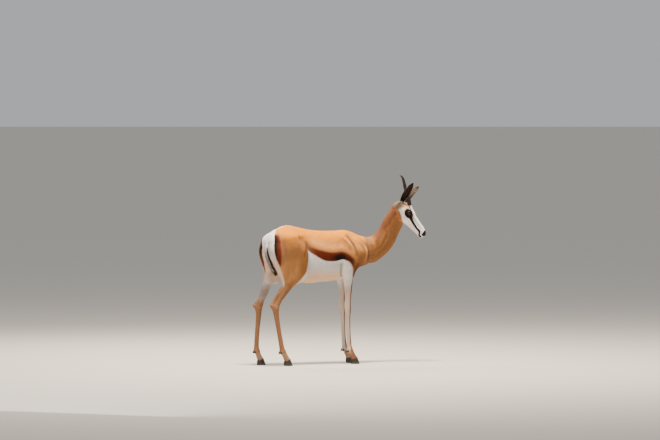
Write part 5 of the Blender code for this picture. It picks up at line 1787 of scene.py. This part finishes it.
# ---------------------------------------------------------------- horns
@dataclass
class Horn:
    """A slender lyre-shaped horn, ringed on its lower half and smooth and pointed above."""

    side: Side
    along: tuple[float, ...] = (0.075, 0.054, 0.0255, -0.0125, -0.042, -0.072, -0.0955, -0.117)
    up: tuple[float, ...] = (0.0105, 0.0300, 0.0460, 0.0590, 0.0720, 0.0860, 0.0940, 0.0925)
    out: tuple[float, ...] = (0.0175, 0.0185, 0.0195, 0.0200, 0.0195, 0.0180, 0.0160, 0.0140)
    base_radius: float = 0.0092
    tip_radius: float = 0.0012
    rings: int = 13
    steps: int = 260
    sides: int = 40

    def material(self) -> bpy.types.Material:
        """Keratin, grown and rubbed: dull and dark in the rings, worn smooth and browner on the ridges.

        Returns:
            The material, made once for both horns.
        """
        existing = bpy.data.materials.get("horn_keratin")
        if existing:
            return existing
        material, tree, shader = new_material("horn_keratin", IOR=1.54, Specular_IOR_Level=0.35)
        place = add_node(tree, "TexCoord").outputs["Object"]
        ridge = add_node(tree, "Attribute", attribute_name="ridge").outputs["Fac"]
        fibre = add_node(tree, "TexNoise", {"Vector": place, "Scale": 420.0, "Detail": 4.0}).outputs["Fac"]
        worn = add_node(tree, "Math", {0: fibre, 1: 0.5, 2: ridge}, operation="MULTIPLY_ADD").outputs[0]
        worn = add_node(tree, "MapRange", {"Value": worn, "From Min": 0.35,
                                           "From Max": 1.35}).outputs["Result"]
        colour = add_node(tree, "Mix", {"Factor": worn, "A": linear("#0d0605"), "B": linear("#28160c")},
                          data_type="RGBA")
        tree.links.new(colour.outputs["Result"], shader.inputs["Base Color"])
        rough = add_node(tree, "MapRange", {"Value": worn, "To Min": 0.62, "To Max": 0.38}).outputs["Result"]
        tree.links.new(rough, shader.inputs["Roughness"])
        relief = add_node(tree, "Bump", {"Height": fibre, "Strength": 0.25, "Distance": 0.0005})
        tree.links.new(relief.outputs["Normal"], shader.inputs["Normal"])
        return material

    def build(self) -> bpy.types.Object:
        """A circle carried along the horn's curve, its radius swelling at each ring and thinning to the tip.

        Returns:
            The horn.
        """
        station = np.linspace(0.0, 1.0, len(self.along))
        at = np.linspace(0.0, 1.0, self.steps)
        local = np.stack([through(station, np.array(c), at) for c in (self.along, self.out, self.up)], axis=1)
        path = POLL + (local * (1.0, self.side.value, 1.0)) @ HEAD_AXES
        taper = self.tip_radius + (self.base_radius - self.tip_radius) * (1.0 - at) ** 0.62
        phase = at ** 0.92 * self.rings / 0.62
        ringed = ramp(at, 0.06, 0.12) * (1.0 - ramp(at, 0.52, 0.66))
        swell = np.abs(np.sin(math.pi * phase)) ** 0.7
        radius = taper * (1.0 + ringed * (0.10 * swell - 0.07))
        close = np.sqrt(np.clip((1.0 - at) / 0.006, 0.0, 1.0))
        radius = np.maximum(radius * close, 0.00004)
        points, faces = swept_tube(path, radius, self.sides, HEAD_LEFT)
        ridge = np.append(np.repeat(np.where(ringed > 0.02, swell * ringed, 0.55), self.sides), (0.0, 0.6))
        thing = mesh_object("ringed_horn_" + self.side.word, points, faces, {"ridge": ridge})
        return register(thing, self.material(), "horn", "horn_" + self.side.word)


# ---------------------------------------------------------------- ears
@dataclass
class Ear:
    """A long pointed ear: a cupped leaf, nearly closed at the root, dark inside with rows of pale hair."""

    side: Side
    tip: tuple[float, float, float]
    rng: np.random.Generator
    root: tuple[float, float, float] = (0.020, 0.0310, -0.006)
    half_width: float = 0.0208
    thickness: float = 0.0030
    rows: int = 72
    columns: int = 49

    def half(self, t: Array) -> Array:
        """Half width of the leaf: narrow stalk, widest at 0.44, long point.

        Args:
            t: Places along the ear, from root (0) to tip (1).

        Returns:
            The half width at each.
        """
        widest, stalk, point = 0.44, 0.42, 0.05
        rising = stalk + (1.0 - stalk) * ramp(t, 0.0, widest)
        falling = point + (1.0 - point) * np.maximum(1.0 - ((t - widest) / (1.0 - widest)) ** 2, 0.0)
        return self.half_width * np.where(t < widest, rising, falling)

    def sheet(self, t: Array, u: Array, inner: bool) -> Array:
        """Points of the outer or the inner face; an arc of the cup at each place along the ear.

        Args:
            t: Places along the ear, from root (0) to tip (1).
            u: Places across it, from rear edge (-1) to front edge (1).
            inner: Whether the inner face is asked for.

        Returns:
            Body coordinates, one for each pair.
        """
        root = np.array(self.root)
        way = unit(np.array(self.tip) - root)
        face = np.array((0.30, 0.90, -0.25))
        face = unit(face - way * (face @ way))
        edge = np.cross(way, face)
        half = self.half(t)
        curl = np.radians(140.0 - 95.0 * np.minimum(t / 0.55, 1.0))
        radius = half / np.maximum(np.sin(np.minimum(curl, math.pi / 2.0)), 0.3)
        thick = 0.0
        if inner:
            ridges = 0.0009 * np.cos(u * 3.0 * math.pi) * np.sin(math.pi * np.clip(t * 1.15, 0.0, 1.0))
            thick = self.thickness * (1.0 - 0.45 * t) * (0.22 + 0.78 * np.sqrt(np.maximum(1.0 - u * u, 0.0)))
            thick = thick + ridges * (1.0 - u ** 4)
        wave = 0.0008 * np.sin(9.0 * t) * u ** 2
        centre = root + way * (np.linalg.norm(np.array(self.tip) - root) * t)[..., None]
        centre = centre - face * (0.012 * np.sin(math.pi * t))[..., None]
        angle = curl * u
        reach = radius - thick + wave
        local = centre + edge * (reach * np.sin(angle))[..., None]
        local = local + face * (radius - reach * np.cos(angle) - 0.5 * half)[..., None]
        return POLL + (local * (1.0, self.side.value, 1.0)) @ HEAD_AXES

    def shares(self, t: Array, u: Array, inner: Array) -> dict[str, Array]:
        """Colours: grey-fawn back with a dark point, dark inside with pale rows, pale margins below.

        Args:
            t: Places along the ear.
            u: Places across it.
            inner: 1 on the inner face and 0 on the outer.

        Returns:
            For each name in SHARES and for bare skin, a share.
        """
        margin = ramp(np.abs(u), 0.84, 0.98) * (1.0 - ramp(t, 0.62, 0.86))
        point = ramp(t, 0.78, 0.96)
        back = 1.0 - inner
        plain = {key: 0.0 * t for key in (*SHARES, "bare")}
        black = inner * (0.80 - 0.62 * margin) + 0.50 * back + 0.30 * back * point
        return plain | {"white": 0.50 * margin * (1.0 - point), "grey": 0.0 * t + 1.0,
                        "black": np.clip(black, 0.0, 1.0)}

    def leaf(self, material: bpy.types.Material) -> bpy.types.Object:
        """The two faces of the leaf, joined along its margin.

        Args:
            material: The coat's material.

        Returns:
            The ear.
        """
        t, u = np.meshgrid(np.linspace(0.0, 1.0, self.rows) ** 0.92, np.linspace(-1.0, 1.0, self.columns),
                           indexing="ij")
        outer, inner = (self.sheet(t, u, side) for side in (False, True))
        points = np.concatenate((outer.reshape(-1, 3), inner.reshape(-1, 3)))
        faces = grid_faces(self.rows, self.columns, closed=False)
        size = self.rows * self.columns
        number = np.arange(size).reshape(self.rows, self.columns)
        border = np.concatenate((number[0], number[1:, -1], number[-1, -2::-1], number[-2:0:-1, 0]))
        after = np.roll(border, -1)
        rim = np.stack((after, border, border + size, after + size), axis=1)
        quads = np.concatenate((faces, faces[:, ::-1] + size, rim))
        back, inside = self.shares(t, u, 0.0 * t), self.shares(t, u, 0.0 * t + 1.0)
        shares = {key: np.concatenate((back[key].ravel(), inside[key].ravel())) for key in back}
        thing = mesh_object("ear_leaf_" + self.side.word, points, face_outward(points, quads), shares)
        return register(thing, material, "grey_coat", "ear_" + self.side.word)

    def hair(self, count: int, inner: bool, length: float, width: float,
             spread: tuple[float, float] = (-0.98, 0.98), rows: bool = False) -> Lock:
        """Hairs on one face of the leaf, all running to the tip.

        Args:
            count: How many.
            inner: Whether they grow on the inner face.
            length: Their length.
            width: Their width.
            spread: The part of the width that they cover.
            rows: Whether they grow only along the ridges.

        Returns:
            The tufts.
        """
        t = self.rng.uniform(0.06, 0.96, count)
        u = self.rng.uniform(*spread, count)
        if rows:
            t = self.rng.uniform(0.12, 0.68, count)
            u = np.round(u * 1.5) / 1.5 + self.rng.normal(0.0, 0.035, count)
        here = self.sheet(t, u, inner)
        ahead = self.sheet(np.minimum(t + 0.01, 1.0), u, inner) - here
        across = self.sheet(t, u + 0.01, inner) - here
        normal = unit(np.cross(ahead, across)) * self.side.value
        if inner:
            normal = -normal
        stray, stand = (0.25, 0.18) if inner else (0.10, 0.05)
        aside = stray * self.rng.normal(0.0, 1.0, (count, 1)) * unit(across)
        flow = unit(unit(ahead) + aside + stand * normal)
        size = self.rng.uniform(0.75, 1.2, count) * (1.0 - 0.5 * t)
        shares = self.shares(t, u, np.full(count, float(inner)))
        if rows:
            pale = (("white", 0.3), ("grey", 0.7), ("black", 0.2))
            shares |= {key: np.full(count, share) for key, share in pale}
        return Lock(here, normal, flow, length * size, np.full(count, width), np.full(count, 0.0006),
                    np.full(count, Region.HEAD), shares)


# ---------------------------------------------------------------- hooves
@dataclass
class Foot:
    """The two horny toes of one foot and the two small claws behind the fetlock."""

    side: Side
    fore: bool
    anatomy: Anatomy
    levels: int = 22
    sides: int = 48
    growth_rings: float = 18.0
    claw_rings: int = 14
    claw_sides: int = 24
    claw_radii: tuple[float, float, float] = (0.0066, 0.0058, 0.0088)
    claw_tilt: float = math.radians(28.0)
    coronet_slope: float = 0.45 / 0.893

    def material(self) -> bpy.types.Material:
        """Hoof horn, trodden: near black, dull, with growth rings 1.5 mm apart and dust low on the wall.

        Returns:
            The material, made once for all feet.
        """
        existing = bpy.data.materials.get("hoof_horn")
        if existing:
            return existing
        material, tree, shader = new_material("hoof_horn", IOR=1.54)
        place = add_node(tree, "TexCoord").outputs["Object"]
        ring = add_node(tree, "Attribute", attribute_name="ring").outputs["Fac"]
        scuff = add_node(tree, "TexNoise", {"Vector": place, "Scale": 260.0, "Detail": 4.0}).outputs["Fac"]
        wave = add_node(tree, "Math", {0: ring, 1: 2.0 * math.pi * self.growth_rings},
                        operation="MULTIPLY").outputs[0]
        wave = add_node(tree, "Math", {0: wave}, operation="SINE").outputs[0]
        low = add_node(tree, "MapRange", {"Value": ring, "From Min": 0.45, "From Max": 0.0, "To Min": 0.0,
                                          "To Max": 0.55})
        dust = add_node(tree, "Math", {0: low.outputs["Result"], 1: scuff}, operation="MULTIPLY").outputs[0]
        colour = add_node(tree, "Mix", {"Factor": dust, "A": linear("#1b1512"), "B": linear("#6d5c4c")},
                          data_type="RGBA")
        tree.links.new(colour.outputs["Result"], shader.inputs["Base Color"])
        rough = add_node(tree, "MapRange", {"Value": scuff, "To Min": 0.36, "To Max": 0.62}).outputs["Result"]
        tree.links.new(rough, shader.inputs["Roughness"])
        height = add_node(tree, "Math", {0: wave, 1: 0.25, 2: scuff}, operation="MULTIPLY_ADD").outputs[0]
        relief = add_node(tree, "Bump", {"Height": height, "Strength": 0.45, "Distance": 0.0004})
        tree.links.new(relief.outputs["Normal"], shader.inputs["Normal"])
        return material

    def toe(self, toe: Array, toe_side: int) -> tuple[Array, Array, Array]:
        """One toe: an oval, pointed in front, at each height from the sole to the slanting coronet.

        Args:
            toe: The foot's coronet, y given for the left.
            toe_side: 1 for the toe further to the left.

        Returns:
            Points, faces and the share of the height of each point.
        """
        height = np.concatenate(([0.0, 0.004, 0.02], np.linspace(0.05, 1.0, self.levels - 3)))[:, None]
        angle = round_the_ring(self.sides)[None]
        table = np.array(((0.0, 0.0235, 0.0115, 0.0075), (0.25, 0.0220, 0.0114, 0.0055),
                          (0.65, 0.0180, 0.0108, 0.0015), (1.0, 0.0150, 0.0098, 0.0)))
        long_half, wide_half, ahead = (through(table[:, 0], column, height) for column in table[:, 1:].T)
        edge = 1.0 - 0.05 * np.clip(1.0 - height / 0.03, 0.0, 1.0) ** 2
        narrow = 1.0 - 0.30 * np.maximum(np.cos(angle), 0.0) ** 1.5 * (1.0 - height)
        across = wide_half * np.sin(angle) * narrow * edge
        across = np.where(across * toe_side < 0.0, 0.80 * across, across)
        x = toe[0] + long_half * np.cos(angle) * edge + ahead
        top = toe[2] + (x - toe[0]) * self.coronet_slope + 0.0010
        y = self.side.value * toe[1] + TOE_SPREAD * toe_side + across
        grid = np.stack((x, y, top * height), axis=-1).reshape(-1, 3)
        caps = np.array((grid[:self.sides].mean(axis=0), grid[-self.sides:].mean(axis=0)))
        share = np.append(np.repeat(height[:, 0], self.sides), (0.0, 1.0))
        return np.concatenate((grid, caps)), capped_rings(self.levels, self.sides), share

    def claw(self, ankle: Array, toe_side: int) -> tuple[Array, Array, Array]:
        """One small claw: an oval bead, radii * (sin t cos a, sin t sin a, cos t), turned down and back.

        Args:
            ankle: The foot's fetlock, y given for the left.
            toe_side: 1 for the claw further to the left.

        Returns:
            Points, faces and the share of the height of each point.
        """
        x, y, z = (round_ball(self.claw_rings, self.claw_sides) * self.claw_radii).T
        cos, sin = math.cos(self.claw_tilt), math.sin(self.claw_tilt)
        turned = np.stack((x * cos + z * sin, y, z * cos - x * sin), axis=1)
        centre = ankle * (1.0, self.side.value, 1.0) + (-0.0150, 1.02 * TOE_SPREAD * toe_side, -0.0090)
        share = 0.6 + 0.25 * z / self.claw_radii[2]
        return centre + turned, capped_rings(self.claw_rings, self.claw_sides), share

    def build(self) -> bpy.types.Object:
        """Both toes and both claws as one piece.

        Returns:
            The piece.
        """
        foot = self.anatomy.fore_foot if self.fore else self.anatomy.hind_foot
        ankle, toe = foot(self.side)
        parts = [self.toe(toe, toe_side) for toe_side in (-1, 1)]
        parts += [self.claw(ankle, toe_side) for toe_side in (-1, 1)]
        points, faces, rings = zip(*parts)
        before = np.cumsum([0, *map(len, points)])
        faces = [face_outward(place, face) + start for place, face, start in zip(points, faces, before)]
        word = ("fore_" if self.fore else "hind_") + self.side.word
        thing = mesh_object("hooves_" + word, np.concatenate(points), np.concatenate(faces),
                            {"ring": np.concatenate(rings)})
        return register(thing, self.material(), "hoof", "hoof_" + word + "_outer", "hoof_" + word + "_inner")


# ---------------------------------------------------------------- long hair
@dataclass
class LongHair:
    """Tail locks, hair of the ears and lashes: tapered slivers with a bend, longer than the coat."""

    coat: Coat
    rng: np.random.Generator
    tail_hairs: int = 3400
    upper_lashes: int = 80
    lower_lashes: int = 30

    def tail(self) -> Lock:
        """Hair of the tail: short and white on the dock, a dark fringe down both edges and a dark tuft.

        Returns:
            The hairs.
        """
        count = self.tail_hairs
        t = 0.93 * self.rng.uniform(0.02, 1.0, count) ** 0.9
        path, sizes = np.array(TAIL_PATH), np.array(TAIL_SIZES)
        at = np.linspace(0.0, 1.0, len(path))
        centre = np.stack([through(at, column, t) for column in path.T], axis=1)
        ahead, behind = (np.stack([through(at, column, place) for column in path.T], axis=1)
                         for place in (np.minimum(t + 0.02, 1.0), t - 0.02))
        heading = unit(ahead - behind)
        angle = self.rng.uniform(0.0, 2.0 * math.pi, count)
        wide = unit(np.array((0.0, 1.0, 0.0)) - heading * heading[:, 1:2])
        deep = np.cross(heading, wide)
        normal = np.cos(angle)[:, None] * wide + np.sin(angle)[:, None] * deep
        radius = 0.62 * np.interp(t, at, sizes)
        lateral = np.abs(np.cos(angle))
        fringe = ramp(lateral, 0.55, 0.95) * ramp(t, 0.20, 0.36)
        tuft = ramp(t, 0.80, 0.92)
        length = 0.015 + 0.020 * ramp(t, 0.15, 0.5) * (0.4 + 0.6 * fringe) + 0.008 * tuft
        flow = unit(heading + (0.05 + 0.50 * fringe * (1.0 - 0.6 * tuft))[:, None] * normal)
        dark = np.maximum(0.75 * ramp(lateral, 0.82, 0.94) * ramp(t, 0.20, 0.32), 0.85 * tuft)
        shares = {key: np.zeros(count) for key in (*SHARES, "bare")}
        shares |= {"white": 1.0 - 0.8 * dark, "grey": 0.6 * ramp(t, 0.22, 0.5), "rust": 0.6 * dark,
                   "black": 0.95 * dark}
        length = length * self.rng.uniform(0.7, 1.15, count)
        return Lock(centre + normal * radius[:, None], normal, flow, length, np.full(count, 0.0017),
                    0.0014 + 0.003 * fringe, np.full(count, Region.TAIL), shares)

    def lashes(self, side: Side) -> Lock:
        """Upper and lower lashes: fine black hairs that stand out and curve from the lid's edge.

        Args:
            side: The side of the head.

        Returns:
            The hairs.
        """
        count = self.upper_lashes + self.lower_lashes
        angle = np.concatenate((self.rng.uniform(0.25, math.pi - 0.35, self.upper_lashes),
                                self.rng.uniform(math.pi + 0.5, 1.9 * math.pi, self.lower_lashes)))
        ahead = 0.0136 * np.cos(angle)
        rise, out = lid_edge(angle, ahead, 0.0098)
        local = (EYE_CENTRE + np.stack((ahead, out + 0.0012, rise), axis=1)) * (1.0, side.value, 1.0)
        away = np.stack((0.6 * np.cos(angle), np.full(count, 0.9 * side.value), 0.9 * np.sin(angle)), axis=1)
        flow = unit((away + self.rng.normal(0.0, 0.10, (count, 3))) @ HEAD_AXES)
        normal = unit(np.cross(flow, unit(FACE_AXIS + 0.2 * HEAD_LEFT)))
        upper = np.arange(count) < self.upper_lashes
        length = np.where(upper, 0.0085, 0.0040) * self.rng.uniform(0.8, 1.1, count)
        shares = {key: np.full(count, float(key == "black")) for key in (*SHARES, "bare")}
        return Lock(POLL + local @ HEAD_AXES, normal, flow, length, np.full(count, 0.00045),
                    np.full(count, 0.0004), np.full(count, Region.HEAD), shares)

    def mesh(self, name: str, tufts: Lock, material: bpy.types.Material, slot: str,
             *nodes: str) -> bpy.types.Object:
        """Free hairs as closed bent slivers of three sections and a tip.

        Args:
            name: The piece's name.
            tufts: The hairs.
            material: The hair's material.
            slot: Not used.
            *nodes: Solids that the piece stands for.

        Returns:
            The piece.
        """
        count = len(tufts.root)
        side = unit(np.cross(tufts.normal, tufts.flow))
        bend = self.rng.normal(0.0, 0.10, (count, 1)) * side - 0.10 * tufts.normal
        rows = []
        for share, width in ((0.0, 0.75), (0.40, 1.0), (0.75, 0.70)):
            centre = tufts.root + tufts.flow * (tufts.length * share)[:, None]
            centre = centre + bend * (tufts.length * share ** 2)[:, None]
            half = 0.5 * width * tufts.width[:, None] * side
            rise = tufts.normal * (0.30 * width * tufts.width)[:, None]
            rows += [centre + half, centre - half, centre + rise]
        rows[0:3] = [row - 0.0006 * tufts.normal for row in rows[0:3]]
        rows.append(tufts.root + tufts.flow * tufts.length[:, None] + bend * tufts.length[:, None])
        points = np.stack(rows, axis=1)
        faces = [(0, 1, 2)]
        for base in (0, 3):
            for a, b in ((0, 1), (1, 2), (2, 0)):
                faces += [(base + a, base + b + 3, base + b), (base + a, base + a + 3, base + b + 3)]
        faces = np.array(faces + [(6, 9, 7), (7, 9, 8), (8, 9, 6)])
        if signed_volume(points[0], faces) < 0.0:
            faces = faces[:, ::-1]
        steps = np.array(((0, 0), (1, 0), (0.5, 0.2), (0, 0.4), (1, 0.4), (0.5, 0.5), (0.1, 0.75),
                          (0.9, 0.75), (0.5, 0.8), (0.5, 1.0)))
        return register(self.coat.slivers(name, tufts, points, faces, steps), material, slot, *nodes)


# ---------------------------------------------------------------- stage
@dataclass
class Stage:
    """A pale floor, soft studio light and the camera."""

    azimuth: float = -28.0
    elevation: float = 1.5
    distance: float = 30.0
    pixels_per_metre: float = 172.0
    frame_width: float = 660.0
    frame_height: float = 440.0
    withers_foot: tuple[float, float] = (345.0, 363.5)

    def axes(self) -> tuple[Array, Array, Array]:
        """The camera's directions.

        Returns:
            Right, up and backward.
        """
        a, e = math.radians(self.azimuth), math.radians(self.elevation)
        right = np.array((math.cos(a), math.sin(a), 0.0))
        back = np.array((math.sin(a) * math.cos(e), -math.cos(a) * math.cos(e), math.sin(e)))
        return right, np.cross(back, right), back

    def camera(self) -> None:
        """A long lens, aimed so that the withers' foot falls on its place in the frame."""
        right, up, back = self.axes()
        off_x = (self.frame_width / 2.0 - self.withers_foot[0]) / self.pixels_per_metre
        off_y = (self.withers_foot[1] - self.frame_height / 2.0) / self.pixels_per_metre
        target = SHIFT + right * off_x + up * off_y
        data = bpy.data.cameras.new("camera")
        data.sensor_width = 36.0
        data.lens = 36.0 * self.pixels_per_metre * self.distance / self.frame_width
        data.clip_start, data.clip_end = 1.0, 200.0
        camera = bpy.data.objects.new("camera", data)
        camera.location = Vector(target + back * self.distance)
        camera.rotation_euler = Vector(back).to_track_quat("Z", "Y").to_euler()
        bpy.context.scene.collection.objects.link(camera)
        bpy.context.scene.camera = camera

    def lamp(self, name: str, place: Array, size: float, power: float, code: str) -> None:
        """A square soft lamp turned to the animal's middle.

        Args:
            name: The lamp's name.
            place: Where it stands.
            size: Its width in metres.
            power: Its power in watts.
            code: Its colour.
        """
        data = bpy.data.lights.new(name, "AREA")
        data.size, data.energy, data.color = size, power, linear(code)[:3]
        lamp = bpy.data.objects.new(name, data)
        lamp.location = place
        lamp.rotation_euler = (Vector(place) - Vector((0.0, 0.0, 0.55))).to_track_quat("Z", "Y").to_euler()
        bpy.context.scene.collection.objects.link(lamp)

    def floor(self) -> None:
        """A wide pale floor."""
        corners = np.array(((-1.0, -1.0, 0.0), (1.0, -1.0, 0.0), (1.0, 1.0, 0.0), (-1.0, 1.0, 0.0)))
        points = 160.0 * corners - SHIFT
        floor = mesh_object("floor", points, np.array([[0, 1, 2, 3]]))
        material, _, _ = new_material("studio_floor", Base_Color=linear("#ddd6cb"), Roughness=0.9)
        floor.data.materials.append(material)

    def build(self) -> None:
        """Floor, lamps, soft sky and camera."""
        self.floor()
        right, _, back = self.axes()
        lamps = (("key", 0.15, 0.8, 4.6, 1.0, 540.0, "#fff0da"),
                 ("fill", -2.0, 3.8, 1.4, 3.0, 52.0, "#f4f5fb"),
                 ("rim", -1.4, -2.2, 3.0, 1.4, 95.0, "#fff6ea"))
        for name, aside, toward, height, size, power, code in lamps:
            self.lamp(name, aside * right + toward * back + (0.0, 0.0, height), size, power, code)
        world = bpy.data.worlds.new("studio")
        world.use_nodes = True
        sky = world.node_tree.nodes["Background"].inputs
        sky["Color"].default_value, sky["Strength"].default_value = linear("#e9ecf0"), 0.56
        bpy.context.scene.world = world
        self.camera()


def main() -> None:
    """Build stage, hide, coat and the hard pieces in order."""
    logging.basicConfig(level=logging.INFO, format="%(message)s")
    rng = np.random.default_rng(SEED)
    Stage().build()
    markings = Markings()
    anatomy = Anatomy()
    hair = CoatHair()
    skin = Hide(anatomy, markings)
    hide, flesh = skin.build()
    register(hide, hair.material("short_hair_hide"), "tan_coat", "trunk", "neck", "head", "foreleg_left",
             "foreleg_right", "hindleg_left", "hindleg_right")
    tuft = hair.material("short_hair_tufts", bump=0.15)
    coat = Coat(flesh, skin, markings, rng)
    coat.build(hide, tuft)
    ears = (Ear(Side.LEFT, (-0.006, 0.094, 0.1254), rng), Ear(Side.RIGHT, (-0.0237, 0.090, 0.1420), rng))
    batches = []
    for ear in ears:
        ear.leaf(tuft)
        batches += [ear.hair(3800, False, 0.0065, 0.0009), ear.hair(1500, True, 0.0050, 0.0007),
                    ear.hair(40, True, 0.0120, 0.0005, (-1.0, 1.0), rows=True),
                    ear.hair(240, True, 0.0080, 0.0007, (0.92, 1.0)),
                    ear.hair(240, True, 0.0080, 0.0007, (-1.0, -0.92))]
    long_hair = LongHair(coat, rng)
    long_hair.mesh("ear_hair", reduce(Lock.join, batches), tuft, "grey_coat")
    lashes = long_hair.lashes(Side.LEFT).join(long_hair.lashes(Side.RIGHT))
    long_hair.mesh("lashes", lashes, tuft, "grey_coat")
    long_hair.mesh("tail_hair", long_hair.tail(), tuft, "white_coat", "tail")
    for side in Side:
        Eye(side).build()
        Horn(side).build()
        for fore in (True, False):
            Foot(side, fore, anatomy).build()


if __name__ == "__main__":
    main()
